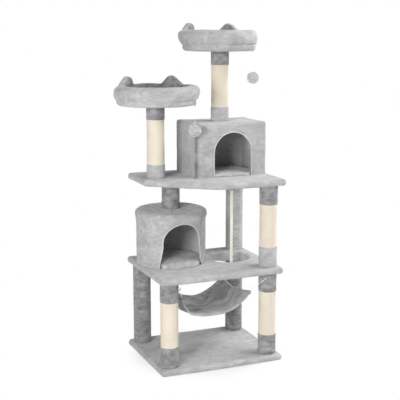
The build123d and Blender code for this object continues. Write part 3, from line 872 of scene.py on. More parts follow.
@dataclass
class Rope:
    """Three-strand sisal rope that hangs from its ferrule, with a knot and a frayed end."""

    finishes: Finishes
    radius: float = 7.5 * MM
    strand: float = 4.3 * MM
    lay_length: float = 52 * MM
    steps: int = 14
    knot_rise: float = 42 * MM
    knot_radius: float = 5.4 * MM
    fibres: int = 26
    fray: float = 16 * MM

    def build(self) -> None:
        """Make the strands, the knot and the fray."""
        low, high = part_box("rope")
        x, y = centre_of("rope")
        route = [Vector((x, y, high.z)), Vector((x, y, (low.z + high.z) / 2)), Vector((x, y, low.z))]
        line = centre_line(route)
        rope = self.strands(line)
        dress(rope, Body.ROPE, Slot.ROPE, [self.finishes.rope], "rope")
        middle = Vector((x, y, low.z + self.knot_rise))
        spread = ((high.x - low.x) / 2 - self.knot_radius) / KNOT_REACH
        tied = knot("rope_knot", middle, Vector((-0.4, -1.0, 0.2)), self.knot_radius, spread)
        dress(tied, Body.ROPE, Slot.ROPE, [self.finishes.rope])
        frayed = self.frayed_end(line[-1])
        dress(frayed, Body.ROPE, Slot.ROPE, [self.finishes.rope])

    def strands(self, line: Sequence[Vector]) -> bpy.types.Object:
        """Twist three strands about the rope's line.

        Args:
            line: Points down the middle of the rope, from its top.

        Returns:
            The strands, one mesh.
        """
        top, bottom = line[0], line[-1]
        length = (bottom - top).length
        turns = length / self.lay_length
        steps = round(turns * self.steps)
        bm = bmesh.new()
        for i in range(3):
            turn = Matrix.Rotation(math.tau * i / 3, 4, "Z")
            offset = Matrix.Translation((self.radius - self.strand, 0.0, 0.0))
            place = Matrix.Translation(top) @ turn @ offset
            bmesh.ops.create_circle(bm, cap_ends=False, segments=9, radius=self.strand, matrix=place)
        bmesh.ops.spin(
            bm, geom=bm.verts[:] + bm.edges[:], cent=top, axis=(0, 0, 1), dvec=(bottom - top) / steps,
            angle=math.tau * turns, steps=steps,
        )
        bmesh.ops.holes_fill(bm, edges=[e for e in bm.edges if e.is_boundary], sides=9)
        bmesh.ops.recalc_face_normals(bm, faces=bm.faces)
        rope_uv(bm, Vector((top.x, top.y, 0.0)))
        return to_object(bm, "hanging_rope")

    def frayed_end(self, tip: Vector) -> bpy.types.Object:
        """Loose fibres below the rope's end.

        Args:
            tip: The end of the rope's line.

        Returns:
            The fibres, one mesh.
        """
        draw = random.Random(5)
        bm = bmesh.new()
        for i in range(self.fibres):
            angle = math.tau * i * 0.618
            out = Vector((math.cos(angle), math.sin(angle), 0.0)) * self.radius * math.sqrt((i + 0.5) / self.fibres)
            lean = out * draw.uniform(0.3, 0.8) + Vector((0, 0, -self.fray * draw.uniform(0.5, 0.9)))
            place = Matrix.Translation(tip + out * 0.8 + Vector((0, 0, self.fray * 0.6)) + lean / 2)
            bmesh.ops.create_cone(
                bm, cap_ends=True, segments=4, radius1=0.9 * MM, radius2=0.4 * MM, depth=lean.length,
                matrix=place @ lean.to_track_quat("Z", "Y").to_matrix().to_4x4(),
            )
        return to_object(bm, "rope_fray")


def rope_uv(bm: bmesh.types.BMesh, axis: Vector) -> None:
    """Lay a UV map along a rope or a post, in metres: round the axis in U and up it in V.

    Args:
        bm: The mesh.
        axis: A point on the upright axis.
    """
    layer = bm.loops.layers.uv.new("along")
    for face in bm.faces:
        middle = face.calc_center_median() - axis
        start = math.atan2(middle.y, middle.x)
        for loop in face.loops:
            place = loop.vert.co - axis
            radius = math.hypot(place.x, place.y)
            turn = math.remainder(math.atan2(place.y, place.x) - start, math.tau)
            loop[layer].uv = ((start + turn) * radius, place.z)


@dataclass
class Pompom:
    """A ball of cut yarn on a thin string that is looped through a ring."""

    name: str
    body: Body
    finishes: Finishes
    seed: int
    tufts: int = 460
    core_share: float = 0.7
    yarn: float = 2.4 * MM
    string_radius: float = 0.8 * MM
    loop_radius: float = 3.2 * MM

    def build(self) -> None:
        """Make the ball, the string and its loop."""
        low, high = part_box(f"{self.name}_ball")
        centre = (low + high) / 2
        ball = self.ball(centre, (high.x - low.x) / 2)
        dress(ball, self.body, Slot.YARN, [self.finishes.yarn], f"{self.name}_ball")
        string_low, string_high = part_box(f"{self.name}_string")
        loop_centre = Vector((centre.x, centre.y, string_high.z - self.string_radius - self.loop_radius))
        start = loop_centre - Vector((0, 0, self.loop_radius))
        end = Vector((centre.x, centre.y, string_low.z))
        string = cord_curve(f"{self.name}_thread", [start, (start + end) / 2, end], self.string_radius)
        dress(string, self.body, Slot.CORD, [self.finishes.cord], f"{self.name}_string")
        loop = self.loop(loop_centre, string_low, string_high)
        dress(loop, self.body, Slot.CORD, [self.finishes.cord])

    def ball(self, centre: Vector, radius: float) -> bpy.types.Object:
        """Stand cut yarn ends all over a core.

        Args:
            centre: Middle of the ball.
            radius: Its radius.

        Returns:
            The ball, one mesh.
        """
        draw = random.Random(self.seed)
        core = radius * self.core_share
        bm = bmesh.new()
        bmesh.ops.create_icosphere(bm, subdivisions=3, radius=core, matrix=Matrix.Translation(centre))
        for i in range(self.tufts):
            height = 1 - 2 * (i + 0.5) / self.tufts
            ring = math.sqrt(1 - height * height)
            turn = i * math.pi * (3 - math.sqrt(5))
            jitter = Vector((draw.uniform(-1, 1), draw.uniform(-1, 1), draw.uniform(-1, 1))) * 0.12
            out = (Vector((ring * math.cos(turn), ring * math.sin(turn), height)) + jitter).normalized()
            tip = radius * draw.uniform(0.84, 0.99)
            root = core * 0.92
            place = Matrix.Translation(centre + out * (tip + root) / 2)
            bmesh.ops.create_cone(
                bm, cap_ends=True, segments=5, radius1=0.6 * self.yarn, radius2=0.8 * self.yarn, depth=tip - root,
                matrix=place @ out.to_track_quat("Z", "Y").to_matrix().to_4x4(),
            )
        return to_object(bm, f"{self.name}_yarn")

    def loop(self, centre: Vector, low: Vector, high: Vector) -> bpy.types.Object:
        """The string's loop through its ring.

        Args:
            centre: Middle of the loop.
            low: Lowest corner of the string's solid.
            high: Its highest corner.

        Returns:
            The loop, one mesh.
        """
        along = Vector((high.x - low.x, high.y - low.y, 0.0)).normalized()
        joint = next(j for j in frame["joints"] if j["child"] == self.body.value)
        if Vector(joint["axis"]).cross(along).length < Vector(joint["axis"]).dot(along):
            along.x = -along.x
        hole = Vector(joint["axis"])
        across = hole.cross(Vector((0, 0, 1)))
        bm = bmesh.new()
        circle = Matrix.Translation(centre + across * self.loop_radius)
        turn = Vector((0, 0, 1)).to_track_quat("Z", "Y").to_matrix().to_4x4()
        bmesh.ops.create_circle(bm, cap_ends=False, segments=8, radius=self.string_radius, matrix=circle @ turn)
        bmesh.ops.spin(
            bm, geom=bm.verts[:] + bm.edges[:], cent=centre, axis=hole, angle=math.tau, steps=20, use_merge=True
        )
        bmesh.ops.recalc_face_normals(bm, faces=bm.faces)
        return to_object(bm, f"{self.name}_thread_loop")


# Plates


@dataclass
class WrappedPlate:
    """A board wrapped in plush, with a soft rounded edge."""

    name: str
    node: str
    finishes: Finishes
    seed: float
    corner: float = 14 * MM
    edge: float = 13 * MM
    # Depth and length of a cut-off front left corner, and the radius of its front end
    cut: Flat | None = None
    cut_front: float = 150 * MM
    hole: tuple[float, float, float] | None = None
    recesses: tuple[Flat, ...] = ()
    recess_radius: float = 6 * MM
    recess_depth: float = 6 * MM
    cell: float = 16 * MM
    unevenness: float = 1.5 * MM
    patch: float = 45 * MM

    def outline(self) -> list[tuple[float, float, float]]:
        """Corners seen from above, each with its radius."""
        low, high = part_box(self.node)
        right = [(high.x, low.y, self.corner), (high.x, high.y, self.corner), (low.x, high.y, self.corner)]
        if self.cut is None:
            return [(low.x, low.y, self.corner), *right]
        depth, length = self.cut
        return [(low.x, low.y + depth, self.corner), (low.x + length, low.y, self.cut_front), *right]

    def tangents(self) -> list[float]:
        """Length that each corner's rounding takes off the sides next to it."""
        corners = [Vector(corner[:2]) for corner in self.outline()]
        lengths = []
        for i, (_, _, radius) in enumerate(self.outline()):
            before = corners[i] - corners[i - 1]
            after = corners[(i + 1) % len(corners)] - corners[i]
            lengths.append(radius * math.tan(before.angle(after) / 2))
        return lengths

    def build(self) -> None:
        """Make the plate."""
        low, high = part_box(self.node)
        bm = bmesh.new()
        corners = self.outline()
        points = [bm.verts.new((x, y, low.z)) for x, y, _ in corners]
        bm.faces.new(points)
        for point, tangent in zip(points, self.tangents()):
            bmesh.ops.bevel(
                bm, geom=[point], offset=tangent, offset_type="OFFSET", segments=7, profile=0.5, affect="VERTICES",
                material=-1,
            )
        if self.hole is not None:
            bmesh.ops.delete(bm, geom=bm.faces[:], context="FACES_ONLY")
            place = Matrix.Translation((self.hole[0], self.hole[1], low.z))
            bmesh.ops.create_circle(bm, cap_ends=False, segments=72, radius=self.hole[2], matrix=place)
            bmesh.ops.bridge_loops(bm, edges=bm.edges[:])
        grown = bmesh.ops.extrude_face_region(bm, geom=bm.faces[:])
        top = [v for v in grown["geom"] if isinstance(v, bmesh.types.BMVert)]
        bmesh.ops.translate(bm, verts=top, vec=(0, 0, high.z - low.z))
        bmesh.ops.recalc_face_normals(bm, faces=bm.faces)
        rims = [e for e in bm.edges if len(e.link_faces) == 2 and e.calc_face_angle() > 1.0]
        bmesh.ops.bevel(
            bm, geom=rims, offset=self.edge, offset_type="OFFSET", segments=6, profile=0.5, affect="EDGES",
            material=-1,
        )
        plate = to_object(bm, self.name)
        if self.recesses:
            carve(plate, self.recess_cutter(low.z))
        bm = bmesh.new()
        bm.from_mesh(plate.data)
        slice_cells(bm, self.cell, (0, 1))
        bm.to_mesh(plate.data)
        bm.free()
        ruffle(plate, self.unevenness, self.patch, self.seed, floor=2 * MM)
        dress(plate, Body.TOWER, Slot.PLUSH, [self.finishes.plush], self.node)

    def recess_cutter(self, bottom: float) -> bpy.types.Object:
        """Plugs in the shape of the recesses for bolt or screw heads in the underside.

        Args:
            bottom: Height of the underside.

        Returns:
            A helper object for carving.
        """
        bm = bmesh.new()
        for x, y in self.recesses:
            bmesh.ops.create_cone(
                bm, cap_ends=True, segments=24, radius1=self.recess_radius, radius2=self.recess_radius,
                depth=2 * self.recess_depth, matrix=Matrix.Translation((x, y, bottom)),
            )
        return to_object(bm, "recesses")


@dataclass
class HoleLining:
    """Plush that lines the hole in the middle plate and hangs a little below it."""

    finishes: Finishes
    x: float
    y: float
    radius: float
    thickness: float = 3 * MM
    hang: float = 17 * MM
    steps: int = 96

    def build(self) -> None:
        """Make the lining."""
        low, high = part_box("middle_cover")
        inner, outer = self.radius - 0.5 * MM, self.radius - 0.5 * MM + self.thickness
        top, bottom = (low.z + high.z) / 2, low.z - self.hang
        count = 5
        inside = [(inner, top + (bottom - top) * i / count) for i in range(count + 1)]
        outside = [(outer, z) for _, z in reversed(inside)]
        lining = to_object(lathe([*inside, *outside, inside[0]], (self.x, self.y), self.steps), "hole_lining")
        for vert in lining.data.vertices:
            if vert.co.z < low.z:
                vert.co.z += 9 * MM * noise.noise(Vector((vert.co.x, vert.co.y, 0.0)) / (40 * MM))
        dress(lining, Body.TOWER, Slot.PLUSH, [self.finishes.plush])


# Posts


@dataclass
class PlushSleeve:
    """Plush sewn round a post, with turned-in ends and one upright seam at the back."""

    node: str
    finish: bpy.types.Material
    seed: float
    turned_in: float = 3.5 * MM
    steps: int = 60
    cell: float = 14 * MM
    seam_depth: float = 2.2 * MM

    def build(self) -> None:
        """Make the sleeve."""
        low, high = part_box(self.node)
        axis = centre_of(self.node)
        radius = (high.x - low.x) / 2
        inner = radius - 2 * self.turned_in
        count = max(2, round((high.z - low.z) / self.cell))
        span = high.z - low.z - 2 * self.turned_in
        wall = [(radius, low.z + self.turned_in + span * i / count) for i in range(count + 1)]
        soft = self.turned_in * (1 - math.sqrt(0.5))
        foot = [(inner, low.z + self.turned_in), (radius - self.turned_in, low.z), (radius - soft, low.z + soft)]
        head = [(radius - soft, high.z - soft), (radius - self.turned_in, high.z), (inner, high.z - self.turned_in)]
        bm = lathe([*foot, *wall, *head], axis, self.steps)
        for vert in bm.verts:
            place = Vector((vert.co.x - axis[0], vert.co.y - axis[1]))
            if abs(math.remainder(math.atan2(place.y, place.x) - math.pi / 2, math.tau)) < 0.01:
                vert.co.y -= self.seam_depth
        sleeve = to_object(bm, f"{self.node}_plush")
        ruffle(sleeve, 1.3 * MM, 32 * MM, self.seed)
        dress(sleeve, Body.TOWER, Slot.PLUSH, [self.finish], self.node)


@dataclass
class WoundSisal:
    """Sisal rope wound closely round a post, with its ends tucked under the sleeves."""

    node: str
    finishes: Finishes
    thickness: float = 5 * MM
    steps: int = 40
    tucked_turns: int = 1

    def build(self) -> None:
        """Wind the rope."""
        low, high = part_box(self.node)
        axis = centre_of(self.node)
        core = (high.x - low.x) / 2 - self.thickness / 2
        turns = round((high.z - low.z) / self.thickness)
        pitch = (high.z - low.z) / turns
        start = low.z - self.tucked_turns * pitch
        bm = bmesh.new()
        first = bm.verts.new((axis[0] + core, axis[1], start))
        middle = (axis[0] + core, axis[1], start + pitch / 2)
        bmesh.ops.spin(bm, geom=[first], cent=middle, axis=(0, -1, 0), angle=math.pi, steps=6)
        bmesh.ops.spin(
            bm, geom=bm.verts[:] + bm.edges[:], cent=(*axis, 0.0), axis=(0, 0, 1), angle=math.tau,
            steps=self.steps, dvec=(0, 0, pitch / self.steps),
        )
        one_turn = bm.verts[:] + bm.edges[:] + bm.faces[:]
        for number in range(1, turns + 2 * self.tucked_turns - 1):
            copied = bmesh.ops.duplicate(bm, geom=one_turn)["geom"]
            points = [v for v in copied if isinstance(v, bmesh.types.BMVert)]
            bmesh.ops.translate(bm, verts=points, vec=(0, 0, number * pitch))
        bmesh.ops.remove_doubles(bm, verts=bm.verts, dist=0.02 * MM)
        rope_uv(bm, Vector((*axis, 0.0)))
        winding = to_object(bm, f"{self.node}_winding", sharp=180.0)
        self.face_outwards(winding, axis)
        dress(winding, Body.TOWER, Slot.SISAL, [self.finishes.sisal], self.node)

    @staticmethod
    def face_outwards(winding: bpy.types.Object, axis: Flat) -> None:
        """Turn the winding's faces away from the post, since it is an open sheet.

        Args:
            winding: The winding.
            axis: Where the post stands.
        """
        face = winding.data.polygons[len(winding.data.polygons) // 2]
        out = Vector((face.center.x - axis[0], face.center.y - axis[1], 0.0))
        if face.normal.dot(out) < 0:
            winding.data.flip_normals()


# Condos


@dataclass
class ArchedDoor:
    """An arched door in a wall that faces the front: straight jambs and a round head."""

    centre: float
    foot: float
    half_foot: float
    half_spring: float
    spring: float
    head: float
    segments: int = 28

    @property
    def arc_centre(self) -> float:
        """Height of the middle of the round head."""
        rise = self.head - self.spring
        return self.head - (rise * rise + self.half_spring**2) / (2 * rise)

    @property
    def arc_angle(self) -> float:
        """Angle that the round head covers."""
        return 2 * (math.pi / 2 + math.atan2(self.arc_centre - self.spring, self.half_spring))

    def cutter(self, front: float, back: float) -> bpy.types.Object:
        """The doorway as a closed block.

        Args:
            front: Where the block starts, along Y.
            back: Where it ends.

        Returns:
            A helper object for carving.
        """
        bm = bmesh.new()
        spring = bm.verts.new((self.centre - self.half_spring, front, self.spring))
        bmesh.ops.spin(
            bm, geom=[spring], cent=(self.centre, front, self.arc_centre), axis=(0, 1, 0), angle=self.arc_angle,
            steps=self.segments,
        )
        arc = sorted(bm.verts, key=lambda v: math.atan2(v.co.z - self.arc_centre, self.centre - v.co.x) % math.tau)
        order = sorted(bm.verts, key=self.along_arc)
        sunk = self.foot - 0.02
        slope = (self.half_foot - self.half_spring) / (self.spring - self.foot)
        reach = self.half_foot + slope * (self.foot - sunk)
        left = bm.verts.new((self.centre - reach, front, sunk))
        right = bm.verts.new((self.centre + reach, front, sunk))
        del arc
        bm.faces.new([left, *order, right])
        grown = bmesh.ops.extrude_face_region(bm, geom=bm.faces[:])
        moved = [v for v in grown["geom"] if isinstance(v, bmesh.types.BMVert)]
        bmesh.ops.translate(bm, verts=moved, vec=(0, back - front, 0))
        bmesh.ops.recalc_face_normals(bm, faces=bm.faces)
        return to_object(bm, "doorway")

    def along_arc(self, vert: bmesh.types.BMVert) -> float:
        """Angle of a point of the round head, from the left spring over the top."""
        start = math.atan2(self.spring - self.arc_centre, -self.half_spring)
        here = math.atan2(vert.co.z - self.arc_centre, vert.co.x - self.centre)
        return (start - here + 0.001) % math.tau

    def binding(self, name: str, radius: float, surface: Callable[[float], float]) -> bpy.types.Object:
        """Piping sewn round the doorway.

        Args:
            name: Name of the piece.
            radius: Half the piping's thickness.
            surface: Gives the wall's front face along Y, for a place along X.

        Returns:
            The piping, one mesh.
        """
        bm = bmesh.new()
        lean = (self.arc_angle - math.pi) / 2
        place = Matrix.Translation((self.centre - self.half_spring, 0.0, self.spring))
        ring = bmesh.ops.create_circle(
            bm, cap_ends=False, segments=10, radius=radius, matrix=place @ Matrix.Rotation(lean, 4, "Y")
        )["verts"]
        spun = bmesh.ops.spin(
            bm, geom=bm.verts[:] + bm.edges[:], cent=(self.centre, 0.0, self.arc_centre), axis=(0, 1, 0),
            angle=self.arc_angle, steps=self.segments,
        )
        last = [v for v in spun["geom_last"] if isinstance(v, bmesh.types.BMVert)]
        for end, side in ((ring, -1), (last, 1)):
            edges = [e for e in bm.edges if all(v in end for v in e.verts)]
            grown = bmesh.ops.extrude_edge_only(bm, edges=edges)["geom"]
            moved = [v for v in grown if isinstance(v, bmesh.types.BMVert)]
            drop = (side * (self.half_foot - self.half_spring), 0, self.foot - self.spring)
            bmesh.ops.translate(bm, verts=moved, vec=drop)
        bmesh.ops.subdivide_edges(
            bm, edges=[e for e in bm.edges if e.calc_length() > 0.5 * (self.spring - self.foot)], cuts=8
        )
        bmesh.ops.holes_fill(bm, edges=[e for e in bm.edges if e.is_boundary], sides=10)
        for vert in bm.verts:
            vert.co.y += surface(vert.co.x)
        bmesh.ops.recalc_face_normals(bm, faces=bm.faces)
        return to_object(bm, name)


def line_inside(piece: bpy.types.Object, inside: Callable[[bpy.types.MeshPolygon], bool]) -> None:
    """Give a wall's inner faces the second material.

    Args:
        piece: The wall.
        inside: Says whether a face belongs to the lining.
    """
    for face in piece.data.polygons:
        face.material_index = int(inside(face))


@dataclass
class RoundCondo:
    """Round condo: a bent wall with an arched door, a plush roof and a padded floor."""

    finishes: Finishes
    wall: float = 15 * MM
    steps: int = 120
    cell: float = 12 * MM
    flare: float = 4.5 * MM
    flare_height: float = 36 * MM
    roof_edge: float = 20 * MM
    roof_foot: float = 3 * MM
    # Upward part of a face's direction from which it counts as the roof's top, where the pile is curled
    roof_level: float = 0.8
    pad_spread: float = 0.03
    door_half_foot: float = 108 * MM
    door_half_spring: float = 91 * MM
    door_spring: float = 105 * MM
    door_head: float = 211 * MM
    binding: float = 2.8 * MM

    def build(self) -> None:
        """Make the wall, the piping, the roof and the floor pad."""
        low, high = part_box("round_condo_cover")
        axis = centre_of("round_condo_cover")
        radius = (high.x - low.x) / 2
        door = ArchedDoor(
            axis[0], low.z, self.door_half_foot, self.door_half_spring, low.z + self.door_spring,
            low.z + self.door_head,
        )
        inner = radius - self.wall
        loop = [(inner, low.z), (radius, low.z), (radius, high.z), (inner, high.z), (inner, low.z)]
        wall = to_object(lathe(loop, axis, self.steps), "round_condo_plush")
        carve(wall, door.cutter(axis[1] - 1.2 * radius, axis[1]))
        bm = bmesh.new()
        bm.from_mesh(wall.data)
        slice_cells(bm, self.cell, (2,))
        bm.to_mesh(wall.data)
        bm.free()
        middle = radius - self.wall / 2
        for vert in wall.data.vertices:
            out = Vector((vert.co.x - axis[0], vert.co.y - axis[1], 0.0))
            share = max(0.0, 1 - (high.z - vert.co.z) / self.flare_height)
            if out.length > middle:
                vert.co += out.normalized() * self.flare * share**2
        ruffle(wall, 2.0 * MM, 50 * MM, 3.0)
        dress(wall, Body.TOWER, Slot.PLUSH, [self.finishes.plush, self.finishes.lining], "round_condo_cover")
        line_inside(wall, lambda f: math.hypot(f.center.x - axis[0], f.center.y - axis[1]) < middle)
        piping = door.binding(
            "round_condo_door_piping", self.binding,
            lambda x: axis[1] - math.sqrt(radius**2 - (x - axis[0]) ** 2) - 1 * MM,
        )
        dress(piping, Body.TOWER, Slot.PLUSH, [self.finishes.binding])
        self.roof()
        floor = solid_copy("round_condo_pad", "round_condo_floor")
        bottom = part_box("round_condo_floor")[0].z
        for vert in floor.data.vertices:
            vert.co.x += (vert.co.x - axis[0]) * self.pad_spread
            vert.co.y += (vert.co.y - axis[1]) * self.pad_spread
        swell(floor, 6 * MM, lambda p: p.z < bottom + 6 * MM, 3.0, 3 * MM, 7 * MM)
        ruffle(floor, 2 * MM, 25 * MM, 8.0, floor=bottom + 6 * MM)
        dress(floor, Body.TOWER, Slot.PLUSH, [self.finishes.pad], "round_condo_floor")

    def roof(self) -> None:
        """Make the plush roof: a disc with a rounded edge."""
        low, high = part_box("round_condo_roof_cover")
        axis = centre_of("round_condo_roof_cover")
        radius = (high.x - low.x) / 2
        edge, foot = self.roof_edge, self.roof_foot
        under = [(0.0, low.z), (radius / 2, low.z), (radius - foot, low.z)]
        quarter = [math.pi / 2 * i / 5 for i in range(1, 6)]
        lower = [(radius - foot + foot * math.sin(a), low.z + foot - foot * math.cos(a)) for a in quarter]
        upper = [(radius - edge + edge * math.cos(a), high.z - edge + edge * math.sin(a)) for a in quarter]
        rings = [((radius - edge) * (1 - i / 10), high.z) for i in range(1, 11)]
        bm = lathe([*under, *lower, (radius, high.z - edge), *upper, *rings], axis, self.steps)
        roof = to_object(bm, "round_condo_roof_plush")
        ruffle(roof, 1.8 * MM, 35 * MM, 5.0)
        looks = [self.finishes.plush, self.finishes.curled]
        dress(roof, Body.TOWER, Slot.PLUSH, looks, "round_condo_roof_cover")
        line_inside(roof, lambda f: f.normal.z > self.roof_level)


@dataclass
class BoxCondo:
    """Box condo: plush sewn over panels, with seams down its corners, an arched door and a padded floor."""

    finishes: Finishes
    wall: float = 21.5 * MM
    corner: float = 12 * MM
    top_round: float = 11 * MM
    seam_depth: float = 1.2 * MM
    seam_width: float = 4 * MM
    # Width of the painted shade beside a seam, and how strong it is on the left and on the right
    seam_line: float = 10 * MM
    seam_shade: Flat = (1.0, 0.15)
    seam_waver: float = 45 * MM
    puff: float = 2.5 * MM
    draw_in: float = 1.5 * MM
    puff_width: float = 14 * MM
    cell: float = 13 * MM
    door_offset: float = 9 * MM
    door_half_width: float = 97 * MM
    door_spring: float = 112 * MM
    door_head: float = 209 * MM
    binding: float = 2.8 * MM

    def build(self) -> None:
        """Make the walls, the piping and the floor pad."""
        low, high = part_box("box_condo_cover")
        centre = (low + high) / 2
        door = ArchedDoor(
            centre.x + self.door_offset, low.z, self.door_half_width, self.door_half_width,
            low.z + self.door_spring, low.z + self.door_head,
        )
        bm = self.block(low, high)
        slice_cells(bm, self.cell, (0, 1, 2))
        walls = to_object(bm, "box_condo_plush")
        self.draw_seams(walls, low, high)
        carve(walls, self.cabin(low, high))
        carve(walls, door.cutter(low.y - self.wall, low.y + 1.2 * self.wall))
        ruffle(walls, 1.7 * MM, 55 * MM, 6.0)
        inset = 0.6 * self.wall
        # Painted shade down the upright seams, strongest on the left corners
        paint_crease_shade(walls, [self.painted_seam_shade(v.co, low, high) for v in walls.data.vertices])
        dress(walls, Body.TOWER, Slot.PLUSH, [self.finishes.plush, self.finishes.lining], "box_condo_cover")
        line_inside(walls, lambda f: self.is_inside(f, low, high, inset))
        piping = door.binding("box_condo_door_piping", self.binding, lambda x: low.y - 1 * MM)
        dress(piping, Body.TOWER, Slot.PLUSH, [self.finishes.binding])
        floor = solid_copy("box_condo_pad", "box_condo_floor")
        swell(floor, 6 * MM, lambda p: p.z < low.z + 5 * MM, 3.0, 2 * MM, 6 * MM)
        ruffle(floor, 2 * MM, 25 * MM, 9.0, floor=low.z + 5 * MM)
        dress(floor, Body.TOWER, Slot.PLUSH, [self.finishes.pad], "box_condo_floor")

    @staticmethod
    def is_inside(face: bpy.types.MeshPolygon, low: Vector, high: Vector, inset: float) -> bool:
        """Whether a face lies in the cabin.

        Args:
            face: The face.
            low: Lowest corner of the condo.
            high: Its highest corner.
            inset: How far inside the outer faces the cabin starts.

        Returns:
            True for a face of the lining.
        """
        place = face.center
        across = low.x + inset < place.x < high.x - inset
        deep = low.y + inset < place.y < high.y - inset
        return across and deep and place.z < high.z - inset

    def block(self, low: Vector, high: Vector) -> bmesh.types.BMesh:
        """The condo's outer shape, with rounded corners that have a seam down the middle.

        Args:
            low: Lowest corner.
            high: Highest corner.

        Returns:
            The closed block.
        """
        bm = bmesh.new()
        centre, size = (low + high) / 2, high - low
        bmesh.ops.create_cube(bm, size=1.0, matrix=Matrix.Translation(centre) @ Matrix.Diagonal((*size, 1.0)))
        upright = [e for e in bm.edges if abs(e.verts[0].co.z - e.verts[1].co.z) > size.z / 2]
        bmesh.ops.bevel(
            bm, geom=upright, offset=self.corner, offset_type="OFFSET", segments=8, profile=0.5, affect="EDGES",
            material=-1,
        )
        rim = [e for e in bm.edges if all(v.co.z > high.z - MM for v in e.verts)]
        bmesh.ops.bevel(
            bm, geom=rim, offset=self.top_round, offset_type="OFFSET", segments=6, profile=0.5, affect="EDGES",
            material=-1,
        )
        bmesh.ops.recalc_face_normals(bm, faces=bm.faces)
        return bm

    def from_seam(self, place: Vector, low: Vector, high: Vector) -> float:
        """How far a place is from the nearest upright seam.

        Args:
            place: The place.
            low: Lowest corner.
            high: Highest corner.

        Returns:
            The level distance.
        """
        inset = self.corner * (1 - math.sqrt(0.5))
        across = min(abs(place.x - low.x - inset), abs(high.x - inset - place.x))
        along = min(abs(place.y - low.y - inset), abs(high.y - inset - place.y))
        return math.hypot(across, along)

    def painted_seam_shade(self, place: Vector, low: Vector, high: Vector) -> float:
        """How much painted shade lies beside the nearest upright seam.

        Args:
            place: The place.
            low: Lowest corner.
            high: Highest corner.

        Returns:
            A share from 0 to 1.
        """
        shade = self.seam_shade[int(place.x > (low.x + high.x) / 2)]
        waver = 0.9 + 0.4 * noise.noise(Vector((0.0, 0.0, place.z / self.seam_waver)))
        apart = self.from_seam(place, low, high) / self.seam_line
        return min(1.0, shade * waver * math.exp(-(apart**2)))

    def draw_seams(self, walls: bpy.types.Object, low: Vector, high: Vector) -> None:
        """Draw the plush in along the upright corners and let it swell on both sides of them.

        Args:
            walls: The outer shape.
            low: Lowest corner.
            high: Highest corner.
        """
        moves = []
        for vert in walls.data.vertices:
            apart = self.from_seam(vert.co, low, high)
            groove = self.seam_depth * math.exp(-((apart / self.seam_width) ** 2))
            swelling = self.puff * (apart / self.puff_width) * math.exp(1 - apart / self.puff_width)
            moves.append(vert.normal * (swelling - groove - self.draw_in))
        for vert, move in zip(walls.data.vertices, moves):
            vert.co += move
        walls.data.update()

    def cabin(self, low: Vector, high: Vector) -> bpy.types.Object:
        """The room inside, as a closed block that is open to the plate below.

        Args:
            low: Lowest corner of the condo.
            high: Its highest corner.

        Returns:
            A helper object for carving.
        """
        inset = Vector((self.wall, self.wall, 0.0))
        bottom, top = low + inset, high - inset
        bottom.z -= 0.02
        top.z -= self.wall
        bm = bmesh.new()
        centre, size = (bottom + top) / 2, top - bottom
        bmesh.ops.create_cube(bm, size=1.0, matrix=Matrix.Translation(centre) @ Matrix.Diagonal((*size, 1.0)))
        return to_object(bm, "cabin")


# Perches


